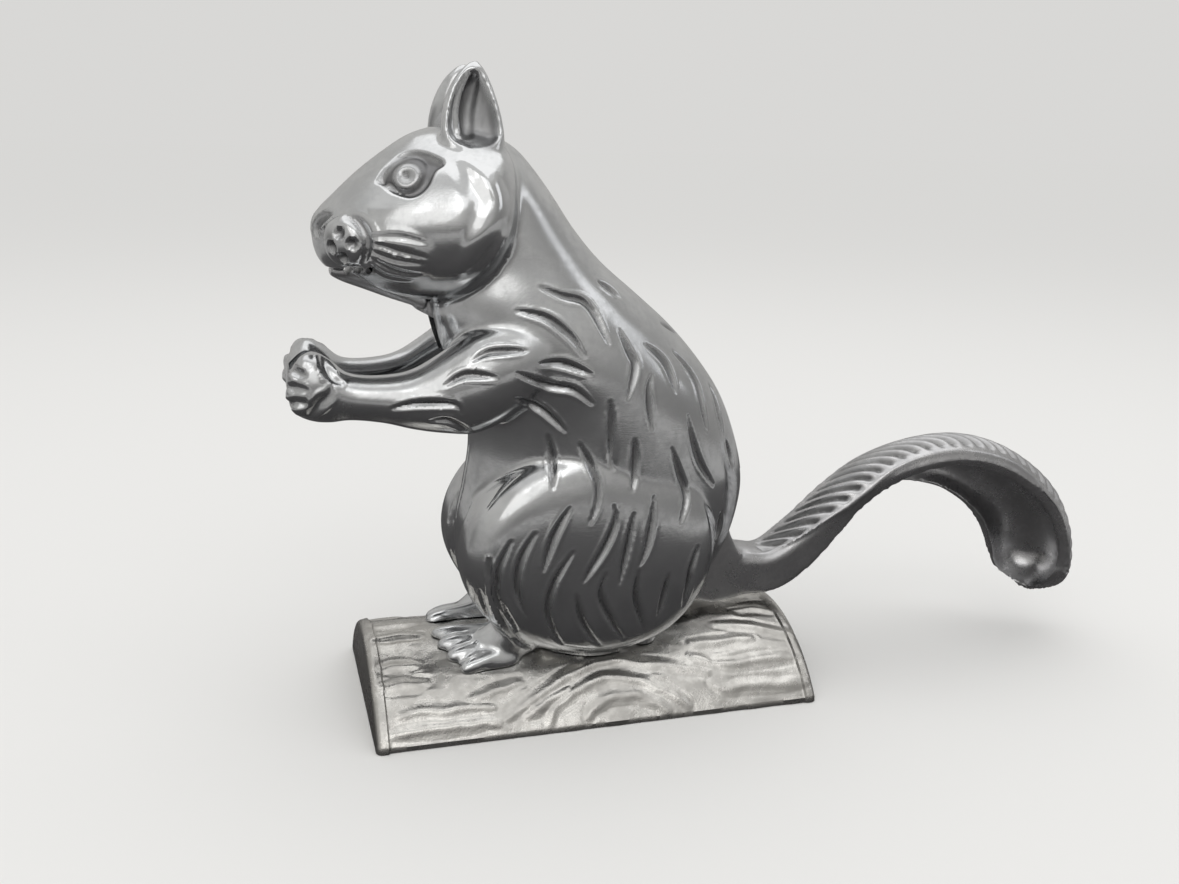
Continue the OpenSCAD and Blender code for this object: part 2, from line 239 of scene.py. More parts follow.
# Several closed forms become one cast skin.
def cast(name, forms, grain, relax):
    piece = joined(name, forms)
    skin = piece.modifiers.new("skin", "REMESH")
    skin.mode, skin.voxel_size = "VOXEL", grain
    soft = piece.modifiers.new("soft", "SMOOTH")
    soft.factor, soft.iterations = 0.5, relax
    return withModifiers(piece)


def readSkin(piece):
    mesh = piece.data
    points = np.empty(len(mesh.vertices) * 3)
    normals = np.empty(len(mesh.vertices) * 3)
    mesh.vertices.foreach_get("co", points)
    mesh.vertices.foreach_get("normal", normals)
    return points.reshape(-1, 3), normals.reshape(-1, 3)


def writeSkin(piece, points):
    piece.data.vertices.foreach_set("co", np.ascontiguousarray(points).ravel())
    piece.data.update()


# The mask of painted shade in grooves, dents and hollows, which the finish darkens: raised to an amount,
# then cleared by a share.
def markRecessShade(piece, amount, cleared=0.0):
    layer = piece.data.attributes.get("recessShade") or piece.data.attributes.new("recessShade", "FLOAT", "POINT")
    held = np.empty(len(piece.data.vertices), np.float32)
    layer.data.foreach_get("value", held)
    held = np.clip(np.maximum(held, amount), 0, 1) * (1 - cleared)
    layer.data.foreach_set("value", held.astype(np.float32))


def treeOf(piece):
    return BVHTree.FromObject(piece, bpy.context.evaluated_depsgraph_get())


strokeStep, strokeLeap = 0.4, 5.0  # spacing of a stroke's points; a longer gap ends the stroke


# Points on the skin along a stroke drawn over the photograph.
def strokePath(tree, stroke):
    seen = [traced(tree, p) for p in smoothRows(stroke, 6)]
    seen = np.array([p for p in seen if p is not None])
    if len(seen) < 3:
        return np.empty((0, 3))
    gaps = np.linalg.norm(np.diff(seen, axis=0), axis=1)
    seen = seen[:1 + int(np.argmax(gaps > strokeLeap))] if (gaps > strokeLeap).any() else seen
    gaps = np.linalg.norm(np.diff(seen, axis=0), axis=1)
    run = np.concatenate([[0], np.cumsum(gaps)])
    if run[-1] < 1:
        return np.empty((0, 3))
    at = np.linspace(0, run[-1], max(int(run[-1] / strokeStep), 4))
    return np.stack([np.interp(at, run, seen[:, k]) for k in range(3)], 1)


# Leaf-shaped grooves (or ridges, with a negative depth) along paths on the skin.
def grooved(piece, paths, width, depth, lip=0.15, blunt=0.5, mask=1.0):
    paths = [p for p in paths if len(p)]
    count = sum(len(p) for p in paths)
    tree, share = KDTree(count), np.empty(count)
    k = 0
    for path in paths:
        for u, p in zip(np.linspace(0, 1, len(path)), path):
            tree.insert(p, k)
            share[k] = max(math.sin(math.pi * (0.03 + 0.94 * u)), 0) ** blunt
            k += 1
    tree.balance()
    points, normals = readSkin(piece)
    low, high = np.concatenate(paths).min(0) - 2 * width, np.concatenate(paths).max(0) + 2 * width
    near = np.nonzero(((points > low) & (points < high)).all(1))[0]
    move = np.zeros(len(points))
    for i in near:
        _, k, away = tree.find(points[i])
        half = width / 2 * (0.3 + 0.7 * share[k])
        r = away / half
        if r < 1:
            move[i] = -depth * share[k] * (1 - r * r) ** 1.5
        elif r < 2:
            move[i] = lip * depth * share[k] * math.sin(math.pi * (r - 1)) ** 2
    writeSkin(piece, points + normals * move[:, None])
    # Painted shade: a groove's colour darkens with its depth, by the mask.
    if mask and depth > 0:
        markRecessShade(piece, mask * np.clip(-move / depth, 0, 1))


# Grooves along strokes over the photograph, traced on a tree of the skin.
def groovedAt(piece, tree, strokes, width, depth, **shape):
    grooved(piece, [strokePath(tree, stroke) for stroke in strokes], width, depth, **shape)


# A round boss or dent, with its middle and radius given in the photograph's pixels.
def pressed(piece, tree, pixel, radius, height, power=1.0, mask=0.0):
    middle = traced(tree, pixel)
    points, normals = readSkin(piece)
    if middle is None:
        return
    size = radius / focalPixels * (middle - viewPlace).length
    r = np.linalg.norm(points - np.array(middle), axis=1) / size
    shape = np.clip(1 - r * r, 0, 1) ** (1.5 * power)
    writeSkin(piece, points + normals * (height * shape)[:, None])
    # A positive mask paints shade over the boss or dent; a negative one clears painted shade.
    if mask > 0:
        markRecessShade(piece, mask * shape)
    elif mask < 0:
        markRecessShade(piece, 0.0, -mask * shape)


# Distance, in pixels, of places in the photograph inside a closed outline (negative outside).
def inside(outline, places):
    a = np.array(outline, float)
    b = np.roll(a, -1, axis=0)
    least = np.full(len(places), 1e9)
    turns = np.zeros(len(places), bool)
    for p, q in zip(a, b):
        way, away = q - p, places - p
        along = np.clip(away @ way / (way @ way), 0, 1)
        least = np.minimum(least, np.linalg.norm(away - along[:, None] * way, axis=1))
        crosses = (p[1] > places[:, 1]) != (q[1] > places[:, 1])
        turns ^= crosses & (places[:, 0] < p[0] + (places[:, 1] - p[1]) * way[0] / (way[1] or 1e-9))
    return np.where(turns, least, -least)


viewReach = 380  # about as far as the camera stands, in millimetres


# Sinks or raises what an outline over the photograph encloses, with a soft edge in pixels.
def outlined(piece, tree, outline, height, edge, mask=0.0):
    middle = np.array(traced(tree, np.mean(outline, axis=0)))
    points, normals = readSkin(piece)
    reach = np.ptp(np.array(outline), axis=0).max() / focalPixels * viewReach
    near = np.nonzero(np.linalg.norm(points - middle, axis=1) < reach)[0]
    depth = inside(smoothRows(list(outline) + [outline[0]], 4)[:-1], onPhoto(points[near]))
    t = np.clip((depth + edge / 2) / edge, 0, 1)
    shape = np.zeros(len(points))
    shape[near] = t * t * (3 - 2 * t)
    writeSkin(piece, points + normals * (height * shape)[:, None])
    # A mask paints shade over the enclosed place.
    if mask:
        markRecessShade(piece, mask * shape)


# Smooths only where the weights (0 to 1) say so.
def relaxed(piece, weights, times):
    group = piece.vertex_groups.new(name="soft")
    levels = np.round(np.clip(weights, 0, 1) * 10).astype(int)
    for level in range(1, 11):
        chosen = np.nonzero(levels == level)[0].tolist()
        if chosen:
            group.add(chosen, level / 10, "REPLACE")
    soft = piece.modifiers.new("soft", "SMOOTH")
    soft.factor, soft.iterations, soft.vertex_group = 0.5, times, "soft"
    withModifiers(piece)
    piece.vertex_groups.clear()


# Weights that fall off around a point; reach in millimetres.
def nearness(piece, place, reach):
    points, _ = readSkin(piece)
    away = np.linalg.norm((points - np.array(place)) / np.array(reach), axis=1)
    return np.clip(1.6 - 1.6 * away, 0, 1)


# Softens a skin at places: X, Y, height above the crown; reach each way; how often.
def softened(piece, places):
    for (x, y, z), reach, times in places:
        relaxed(piece, nearness(piece, (x, y, z + crown), reach), times)


def mirrored(piece, name):
    twin = piece.copy()
    twin.data = piece.data.copy()
    twin.name = twin.data.name = name
    twin.data.transform(Matrix.Diagonal((1, -1, 1, 1)))
    twin.data.flip_normals()
    scene.collection.objects.link(twin)
    return twin


# Turns a piece into metres, smooths its shading, gives it its body and finish, and hides the parts of the
# construction that it stands for.
def finished(piece, body, nodes, finish, crease=38):
    piece.data.transform(Matrix.Scale(0.001, 4))
    piece.data.shade_smooth()
    piece.data.set_sharp_from_angle(angle=math.radians(crease))
    piece.data.materials.clear()
    piece.data.materials.append(finish)
    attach(piece, body)
    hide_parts(*nodes)
    print(piece.name, "is ready,", len(piece.data.polygons), "faces")


# Clouds of polish, hair scratches and cast pits that all the alloy shares.
def alloyGroup():
    group = bpy.data.node_groups.new("polishedCast", "ShaderNodeTree")
    for name, value in (("Cloud Size", 0.018), ("Scratches", 0.5), ("Pits", 0.3)):
        socket = group.interface.new_socket(name, in_out="INPUT", socket_type="NodeSocketFloat")
        socket.default_value = value
    for name in ("Clouds", "Hairlines", "Height"):
        group.interface.new_socket(name, in_out="OUTPUT", socket_type="NodeSocketFloat")
    nodes, links = group.nodes, group.links
    start, end = nodes.new("NodeGroupInput"), nodes.new("NodeGroupOutput")
    place = nodes.new("ShaderNodeTexCoord")

    def maths(how, a, b=None, c=None):
        node = nodes.new("ShaderNodeMath")
        node.operation = how
        for k, v in enumerate((a, b, c)):
            if v is None:
                continue
            if isinstance(v, (int, float)):
                node.inputs[k].default_value = v
            else:
                links.new(v, node.inputs[k])
        return node.outputs[0]

    def clouds(scale, detail, rough, stretch=None, turn=None):
        node = nodes.new("ShaderNodeTexNoise")
        node.inputs["Detail"].default_value = detail
        node.inputs["Roughness"].default_value = rough
        if stretch:
            move = nodes.new("ShaderNodeMapping")
            move.inputs["Scale"].default_value = stretch
            move.inputs["Rotation"].default_value = turn
            links.new(place.outputs["Object"], move.inputs["Vector"])
            links.new(move.outputs["Vector"], node.inputs["Vector"])
        else:
            links.new(place.outputs["Object"], node.inputs["Vector"])
        if isinstance(scale, (int, float)):
            node.inputs["Scale"].default_value = scale
        else:
            links.new(scale, node.inputs["Scale"])
        return node.outputs["Fac"]

    big = clouds(maths("DIVIDE", 1.0, start.outputs["Cloud Size"]), 4, 0.55)
    small = clouds(420, 3, 0.6)
    soft = maths("MULTIPLY_ADD", small, 0.35, maths("MULTIPLY", big, 0.8))
    both = nodes.new("ShaderNodeMapRange")
    both.interpolation_type = "SMOOTHSTEP"
    both.inputs["From Min"].default_value, both.inputs["From Max"].default_value = 0.42, 0.72
    links.new(soft, both.inputs["Value"])
    lines = None
    for stretch, turn in (((60, 2600, 60), (0.3, 0.2, 0.9)), ((50, 60, 2400), (0.5, 0.7, 0.1)),
                          ((2500, 50, 70), (0.2, 0.9, 0.4))):
        streak = clouds(1.0, 2, 0.5, stretch, turn)
        off = maths("ABSOLUTE", maths("MULTIPLY", maths("SUBTRACT", streak, 0.5), 14))
        one = maths("SUBTRACT", 1.0, off)
        one = maths("MAXIMUM", one, 0.0)
        lines = one if lines is None else maths("MAXIMUM", lines, one)
    patches = maths("MAXIMUM", maths("MULTIPLY_ADD", clouds(70, 2, 0.5), 3.0, -1.2), 0.0)
    lines = maths("MULTIPLY", lines, maths("MULTIPLY", start.outputs["Scratches"], patches))
    pits = maths("MULTIPLY", clouds(1500, 3, 0.6), start.outputs["Pits"])
    links.new(both.outputs["Result"], end.inputs["Clouds"])
    links.new(lines, end.inputs["Hairlines"])
    links.new(maths("SUBTRACT", pits, maths("MULTIPLY", lines, 0.25)), end.inputs["Height"])
    return group


polishedCast = alloyGroup()


# A bright cast alloy: colour of clean and of dull metal, roughness of both, the painted shade colour of
# grooves and dents, and its group's values.
def alloyFinish(name, look):
    finish = bpy.data.materials.new(name)
    finish.use_nodes = True
    nodes, links = finish.node_tree.nodes, finish.node_tree.links
    shader = nodes["Principled BSDF"]
    shader.inputs["Metallic"].default_value = 1.0
    polish = nodes.new("ShaderNodeGroup")
    polish.node_tree = polishedCast
    for key in ("Cloud Size", "Scratches", "Pits"):
        polish.inputs[key].default_value = look[key]
    recessShade = nodes.new("ShaderNodeAttribute")
    recessShade.attribute_name = "recessShade"

    def mixed(factor, a, b):
        node = nodes.new("ShaderNodeMix")
        node.data_type = "RGBA"
        links.new(factor, node.inputs[0])
        for socket, value in ((node.inputs[6], a), (node.inputs[7], b)):
            if isinstance(value, tuple):
                socket.default_value = (*value, 1)
            else:
                links.new(value, socket)
        return node.outputs[2]

    def ranged(value, low, high):
        node = nodes.new("ShaderNodeMapRange")
        node.inputs["To Min"].default_value, node.inputs["To Max"].default_value = low, high
        links.new(value, node.inputs["Value"])
        return node.outputs["Result"]

    def added(a, b):
        node = nodes.new("ShaderNodeMath")
        node.operation, node.use_clamp = "ADD", True
        links.new(a, node.inputs[0])
        links.new(b, node.inputs[1])
        return node.outputs[0]

    # Painted shade: grooves, dents and hollows take the darker groove colour, and more roughness, by the
    # mask.
    shadeMask = ranged(recessShade.outputs["Fac"], 0.0, 1.0)
    metal = mixed(polish.outputs["Clouds"], look["clean"], look["dull"])
    metal = mixed(shadeMask, metal, look["groove"])
    links.new(metal, shader.inputs["Base Color"])
    rough = ranged(polish.outputs["Clouds"], look["roughClean"], look["roughDull"])
    rough = added(rough, ranged(shadeMask, 0.0, look["roughGroove"]))
    rough = added(rough, ranged(polish.outputs["Hairlines"], 0.0, 0.12))
    links.new(rough, shader.inputs["Roughness"])
    bump = nodes.new("ShaderNodeBump")
    bump.inputs["Strength"].default_value = look["bump"]
    bump.inputs["Distance"].default_value = 0.0001
    links.new(polish.outputs["Height"], bump.inputs["Height"])
    links.new(bump.outputs["Normal"], shader.inputs["Normal"])
    return finish


# The groove colours are painted shade for grooves, dents and hollows.
figureLook = {"clean": (0.72, 0.73, 0.74), "dull": (0.60, 0.61, 0.62), "groove": (0.22, 0.22, 0.225),
              "roughClean": 0.085, "roughDull": 0.21, "roughGroove": 0.22, "bump": 0.5,
              "Cloud Size": 0.016, "Scratches": 0.6, "Pits": 0.25}
tailLook = {"clean": (0.64, 0.64, 0.65), "dull": (0.5, 0.5, 0.51), "groove": (0.27, 0.27, 0.27),
            "roughClean": 0.22, "roughDull": 0.36, "roughGroove": 0.25, "bump": 0.7,
            "Cloud Size": 0.012, "Scratches": 0.7, "Pits": 0.5}
logLook = {"clean": (0.7, 0.688, 0.66), "dull": (0.53, 0.518, 0.495), "groove": (0.36, 0.347, 0.33),
           "roughClean": 0.2, "roughDull": 0.34, "roughGroove": 0.2, "bump": 0.9,
           "Cloud Size": 0.01, "Scratches": 0.4, "Pits": 0.9}
steelLook = {"clean": (0.55, 0.55, 0.56), "dull": (0.42, 0.42, 0.43), "groove": (0.1, 0.1, 0.1),
             "roughClean": 0.28, "roughDull": 0.42, "roughGroove": 0.2, "bump": 0.6,
             "Cloud Size": 0.006, "Scratches": 0.8, "Pits": 0.4}
figureFinish = alloyFinish("polishedFigure", figureLook)
tailFinish = alloyFinish("brightTail", tailLook)
logFinish = alloyFinish("castBark", logLook)
steelFinish = alloyFinish("turnedSteel", steelLook)
print("finishes are mixed")

# Sizes of one half of the squirrel. The nape and the arms have walls of so many times the plain wall.
figure = {"grain": 0.6, "relax": 9, "wall": 3.0, "napeWalls": 2.2, "armWalls": 1.6, "haunchHalf": 32.0,
          "cheekHalf": 30.0, "armSpread": 17.0, "muzzleBack": -60.0, "seam": 0.25, "seamReach": 0.9,
          "headSkew": 0.38, "haunchAt": (5.5, 31.0), "haunchFront": 48.5, "haunchBack": 35.0,
          "haunchUp": 36.0, "haunchTilt": 7.0, "haunchSink": 0.12, "sinkWay": 50, "earFoot": 158.0,
          "slotFront": 6.4, "slotBack": 9.4, "slotMouth": 13.1, "wrist": -80.0, "fist": 13.44,
          "lipGap": 1.3, "lipHeight": 118.5, "hubBoss": 9.0, "headWell": 3.7,
          "toeRadii": [2.9, 2.8, 2.9, 2.6]}
# Height above the crown, front, back, half width.
trunkRows = [
    (-14, -8, 13, 17), (-6, -21, 24, 23), (3, -33, 35, 27), (12, -38.5, 44, 29), (24, -41.5, 51.5, 30),
    (36, -41.5, 55.5, 30), (48, -39, 56.5, 29.5), (62, -37, 53, 29), (76, -38.5, 47, 29),
    (88, -45, 38.5, 29), (99, -49, 28.5, 27.5), (109, -50.5, 17, 25), (119, -47, 5, 22.5),
    (129, -46, -4, 21), (139, -47, -11, 19.5), (147, -47, -17, 16.5), (153, -46, -22.5, 11.5),
    (157, -42, -29, 4)]
# Height, nose side, nape side, share of the cheeks' half width.
headRows = [
    (108, -62, -39, 0.32), (111, -70, -35, 0.6), (115, -76, -31, 0.78), (120, -82, -27.5, 0.91),
    (127, -84, -24.5, 0.99), (133, -83, -23.5, 1), (139, -77.3, -23.5, 0.95),
    (146, -69.8, -24, 0.84), (152, -62, -26, 0.66), (156.5, -55, -30, 0.43), (159, -48, -37, 0.15)]
# Share of the outline, share of the haunch's half width.
haunchSteps = [(1, 0.3), (1, 0.66), (0.96, 0.79), (0.86, 0.9), (0.68, 0.96), (0.42, 0.99), (0.15, 1)]
# Place along X, height, half height, half depth, share of the arms' spread.
armRows = [
    (-93.5, 82.8, 4, 4, 0.66), (-91.5, 83.3, 7.5, 6.5, 0.67), (-86.5, 84.2, 10.5, 8, 0.7),
    (-80.7, 82.8, 9.5, 8, 0.74), (-75, 81, 7, 7.2, 0.8), (-65.4, 80.2, 7.2, 7.6, 0.88),
    (-57, 80, 9, 8.5, 0.95), (-48, 82, 12.3, 9.6, 1.02), (-38, 85.3, 15.8, 11, 1.06),
    (-26, 89.8, 15, 11.5, 1.05), (-15, 93, 10, 9.5, 1.02), (-8, 95, 3, 5, 1)]
# Height, place along X, half length, half depth, distance from the middle.
earRows = [
    (146, -37.7, 7, 4, 16), (152, -38, 9, 5, 14.5), (158, -38, 9.3, 5.4, 13),
    (165, -38.1, 8.2, 5, 11.4), (171, -37.8, 6, 4, 10.2), (175, -37.2, 3.6, 2.6, 9.4),
    (177.6, -36.4, 0.9, 0.9, 9)]
leverFront = [(-62, 118), (-30, 118), (6, 70), (10, 52), (0, 44), (-8, 44), (-40, 73.5), (-60, 78)]
leverBack = [(8, 62), (44, 62), (60, 44), (75, 44), (75, -20), (30, -20), (8, 30)]
mouthCut = [(-90, 104), (-90, 118.3), (-66.5, 118.3), (-50.5, 110.8), (-50.5, 104)]


# Level ovals of the near half; beyond the parting plane they run only a few millimetres on.
# A skew moves the widest place towards the back.
def nearOvals(rows, spread, skew=0.0, beyond=5.0, around=110):
    t = np.linspace(0, 2 * math.pi, around, endpoint=False)
    x = ((rows[:, 1] + rows[:, 2])[:, None] / 2 + (rows[:, 2] - rows[:, 1])[:, None] / 2
         * (np.cos(t) + skew * np.sin(t) ** 2))
    s = np.sin(t)[None]
    y = np.where(s > 0, -(rows[:, 3] * spread)[:, None] * s, -beyond * s * np.ones((len(rows), 1)))
    z = np.repeat(rows[:, :1] + crown, around, 1)
    return np.stack([x, y, z], 2)


def fullOvals(x0, x1, half, z, skew=0.0, around=80):
    t = np.linspace(0, 2 * math.pi, around, endpoint=False)
    x = ((x0 + x1) / 2)[:, None] + ((x1 - x0) / 2)[:, None] * (np.cos(t) + skew * np.sin(t) ** 2)
    return np.stack([x, -half[:, None] * np.sin(t), np.repeat(z[:, None] + crown, around, 1)], 2)


def armRings(rows, shrink=0.0, shift=0.0, around=64):
    t = np.linspace(0, 2 * math.pi, around, endpoint=False)
    y = (-figure["armSpread"] * rows[:, 4] + shift)[:, None] - (rows[:, 3] - shrink)[:, None] * np.cos(t)
    z = (rows[:, 1] + crown)[:, None] + (rows[:, 2] - shrink)[:, None] * np.sin(t)
    return np.stack([np.repeat(rows[:, :1], around, 1), y, z], 2)


def earRings(rows, shrink=0.0, shift=0.0, around=48):
    t = np.linspace(0, 2 * math.pi, around, endpoint=False)
    x = rows[:, 1][:, None] + np.maximum(rows[:, 2] - shrink, 0.3)[:, None] * np.cos(t)
    y = (-rows[:, 4] - shift)[:, None] - np.maximum(rows[:, 3] - shrink / 2, 0.3)[:, None] * np.sin(t)
    return np.stack([x, y, np.repeat(rows[:, :1] + crown, around, 1)], 2)


# The haunch sinks into the back on its upper rear side.
def haunchRings():
    steps = smoothRows(haunchSteps, 6)
    t = np.linspace(0, 2 * math.pi, 150, endpoint=False)
    reach = np.where(np.cos(t) < 0, figure["haunchFront"], figure["haunchBack"])
    u, w = steps[:, :1] * reach * np.cos(t), figure["haunchUp"] * steps[:, :1] * np.sin(t)
    tilt, sinkWay = math.radians(figure["haunchTilt"]), math.radians(figure["sinkWay"])
    atX, atZ = figure["haunchAt"]
    x = atX + u * math.cos(tilt) - w * math.sin(tilt)
    z = atZ + u * math.sin(tilt) + w * math.cos(tilt)
    sink = 1 - figure["haunchSink"] * (steps[:, :1] * np.maximum(np.cos(t - sinkWay), 0)) ** 2
    return np.stack([x, -figure["haunchHalf"] * steps[:, 1:2] * sink, z + crown], 2)


# Height of the log's top beside the middle.
def archAt(y):
    return archMiddle + math.sqrt(archRadius ** 2 - y * y)


def footForms():
    forms = []
    for tip, root in (((-48.5, -6), (-33, -9)), ((-47.5, -12), (-32, -12.5)),
                      ((-45.5, -17.5), (-31, -16)), ((-42, -22.5), (-29, -19.5))):
        path = []
        for share, lift in ((0, 0.6), (0.45, 0.2), (0.8, -0.3), (1, -0.8)):
            x, y = (a + (b - a) * share for a, b in zip(root, tip))
            path.append((x, y, archAt(y) + lift))
        forms.append(limb("toe", path, figure["toeRadii"], 28))
    forms.append(limb("instep", [(-20, -16, archAt(16) + 7.5), (-28, -15, archAt(15) + 2.0),
                                 (-37, -14, archAt(14) - 1.8)], [9.0, 7.4, 4.8], 40))
    forms.append(limb("palm", [(-30, -8, archAt(8) - 2.2), (-42, -9, archAt(9) - 2.4),
                               (-40, -19, archAt(19) - 2.6), (-28, -19, archAt(19) - 2)],
                      [4.2, 4.0, 4.0, 4.4], 40))
    return forms


def nearSkin():
    trunk = lofted("trunk", nearOvals(smoothRows(trunkRows, 6), 1.0))
    head = lofted("head", nearOvals(smoothRows(headRows, 6), figure["cheekHalf"], figure["headSkew"]))
    haunch = lofted("haunch", haunchRings())
    arm = lofted("arm", armRings(smoothRows(armRows, 6)))
    inner = smoothRows(earRows[1:-1], 8)
    shrink = 1.6 + 7.0 * np.clip((figure["earFoot"] - inner[:, 0]) / 6, 0, 1) ** 2
    ear = worked(lofted("ear", earRings(smoothRows(earRows, 8))),
                 [lofted("earHollow", earRings(inner, shrink, 3.0))], "DIFFERENCE")
    return cast("nearHalf", [trunk, head, haunch, arm, ear] + footForms(),
                figure["grain"], figure["relax"])


furStrokes = [
    # upper body and arm
    [(540, 287), (562, 296), (588, 305), (609, 344)], [(517, 311), (546, 318), (570, 336), (585, 357)],
    [(473, 361), (490, 352), (527, 351)], [(539, 364), (563, 364), (592, 375)],
    [(517, 373), (546, 385), (573, 390), (592, 404)], [(514, 398), (541, 409), (565, 431)],
    [(444, 386), (466, 375), (497, 378)], [(391, 409), (417, 404), (454, 405), (461, 414)],
    [(430, 421), (449, 421), (471, 433)], [(598, 281), (609, 288), (620, 297)],
    [(619, 330), (629, 351), (635, 367), (628, 399)], [(645, 344), (661, 357), (670, 372), (676, 392)],
    [(661, 323), (679, 335), (693, 350), (702, 363)],
    [(673, 351), (688, 368), (698, 386), (704, 414), (707, 429)], [(709, 384), (716, 402), (723, 433)],
    [(651, 376), (649, 395), (652, 429)], [(610, 402), (611, 420), (611, 454), (614, 469)],
    # middle
    [(548, 436), (552, 465), (553, 489)], [(580, 445), (587, 460), (597, 482), (597, 504), (591, 523)],
    [(635, 440), (635, 459), (633, 491)], [(672, 449), (679, 472), (686, 497), (681, 522)],
    [(688, 416), (693, 440), (700, 463), (713, 485)], [(726, 440), (730, 455), (733, 469)],
    # haunch
    [(614, 506), (615, 523), (605, 548), (584, 582)], [(634, 514), (629, 542), (620, 584)],
    [(654, 496), (653, 516), (647, 548), (640, 566)], [(721, 513), (717, 536), (705, 567)],
    [(698, 547), (691, 571), (689, 583), (683, 606)], [(669, 574), (663, 600), (658, 618)],
    [(573, 553), (556, 581), (548, 610), (554, 632), (562, 644)],
    [(606, 574), (601, 597), (613, 624), (624, 640)], [(576, 595), (581, 618), (591, 636), (601, 646)],
    [(639, 571), (636, 597), (644, 630)], [(570, 508), (554, 538), (544, 571)],
    [(535, 534), (522, 559), (517, 589), (526, 616)], [(511, 542), (499, 571), (499, 600), (517, 630)]]
whiskerFolds = [
    [(366, 237), (388, 236.5), (404, 237.5), (426, 243)], [(368, 243), (385, 247), (400, 252), (427, 258)],
    [(369, 250), (385, 257), (400, 261), (424, 264)], [(370, 258), (388, 268), (404, 273), (421, 274)],
    [(370, 264), (379, 272), (389, 277), (411, 280)]]
eyeAt = (406, 175)
# Rings of the eye: radius in pixels, height, power, mask of painted shade (a negative mask clears it).
eyeRings = [(15, 0.9, 0.35, -0.9), (10, -1.1, 0.5, 0.5), (5, -0.7, 1.0, 0.9)]
eyeSocket = [(378, 181.5), (388, 168), (402, 156.5), (416, 153), (430, 156), (443, 162.5), (434, 170),
             (428, 184), (419, 193), (408, 196), (395, 191), (387, 185)]
noseWing = [(331, 214), (322, 219), (315, 228), (318, 236)]
whiskerPad = [(366, 234), (392, 232), (415, 238), (430, 252), (428, 270), (410, 283), (388, 280),
              (370, 266)]
earInner = [(459, 138), (457, 112), (462, 90), (471, 72), (481, 82), (491, 106), (497, 132), (494, 148),
            (478, 146)]
earSlit = [(467, 135), (465, 115), (468, 96), (474, 80)]
earFold = [(459, 137), (456, 114), (460, 93), (468, 75)]


def eyeDetails(skin):
    # The socket and the pupil rings get painted shade.
    outlined(skin, treeOf(skin), eyeSocket, -1.9, 7.5, mask=1.0)
    pressed(skin, treeOf(skin), eyeAt, 22, 2.3, 0.45)
    tree = treeOf(skin)
    for radius, height, power, mask in eyeRings:
        pressed(skin, treeOf(skin), eyeAt, radius, height, power, mask)
    lids = [[(380, 181), (388, 168), (402, 157.5), (416, 154.5), (430, 157), (441, 163)],
            [(381, 182), (388, 187), (396, 192.5), (408, 196), (419, 193), (428, 184), (434, 172)]]
    groovedAt(skin, tree, lids, 2.6, 0.4, lip=0.15, blunt=0.3, mask=0.8)
    relaxed(skin, nearness(skin, traced(treeOf(skin), eyeAt), (14, 10, 12)), 2)


def faceDetails(skin):
    tree = treeOf(skin)
    outlined(skin, tree, whiskerPad, 0.7, 18)
    eyeDetails(skin)
    pressed(skin, tree, (343, 243), 26, 2.8, 0.45)
    tree = treeOf(skin)
    # Grooves behind the muzzle, of the ear, the nose and the whisker pad get painted shade through their
    # masks.
    behind = [[(347, 217), (359, 224), (367, 239), (365, 255), (361, 262)]]
    groovedAt(skin, tree, behind, 4.6, 1.1, lip=0.1, blunt=0.5, mask=0.6)
    # Whisker dimples, darkened with painted shade.
    for dimple in ((338.5, 233), (331, 247), (352.5, 244), (342.5, 258.5)):
        pressed(skin, tree, dimple, 7.0, -1.6, 0.6, mask=0.9)
    # Painted shade inside the ear's hollow, with no change of shape.
    outlined(skin, tree, earInner, 0, 7, mask=0.75)
    groovedAt(skin, tree, [earSlit], 6.5, 1.8, lip=0.1, blunt=0.4, mask=1.0)
    groovedAt(skin, tree, [earFold], 3.2, -1.0, lip=0, blunt=0.4, mask=0)
    groovedAt(skin, tree, [noseWing], 3.6, 1.3, lip=0.4, mask=0.8)
    groovedAt(skin, tree, whiskerFolds, 2.7, 0.55, lip=0.15, mask=0.4)
    cheek = [[(462, 150), (478, 166), (491, 188), (496, 204), (489, 224), (478, 243), (462, 270)]]
    groovedAt(skin, tree, cheek, 11.0, -0.9, lip=0, blunt=0.7, mask=0)
    beyond = [[(449, 160), (464, 176), (478, 196), (480, 208), (474, 224), (464, 240)]]
    groovedAt(skin, tree, beyond, 9.0, 0.6, lip=0, blunt=0.7, mask=0)


def fistDetails(skin):
    tree = treeOf(skin)
    for knuckle, size in (((300, 362), 13), ((288, 378), 11), ((286, 395), 11), ((295, 410), 11)):
        pressed(skin, tree, knuckle, size, 1.2)
    # Finger and cuff grooves get a little painted shade.
    fingers = [[(283, 371), (292, 372), (304, 376)], [(281, 387), (292, 388), (306, 391)],
               [(285, 403), (294, 403), (308, 404)]]
    groovedAt(skin, tree, fingers, 3.0, 0.75, lip=0.3, mask=0.3)
    cuff = [[(321, 356), (325, 367), (332, 378), (341, 383)],
            [(309, 415), (318, 404), (328, 396), (331, 388)]]
    groovedAt(skin, tree, cuff, 3.8, 0.9, lip=0.5, mask=0.25)
    points, _ = readSkin(skin)
    wrist = figure["wrist"]
    fist = points[:, 0] < wrist
    stretch = figure["fist"] / (wrist - points[:, 0].min())  # brings the fist to its full length again
    points[fist, 0] = wrist + (points[fist, 0] - wrist) * stretch
    writeSkin(skin, points)


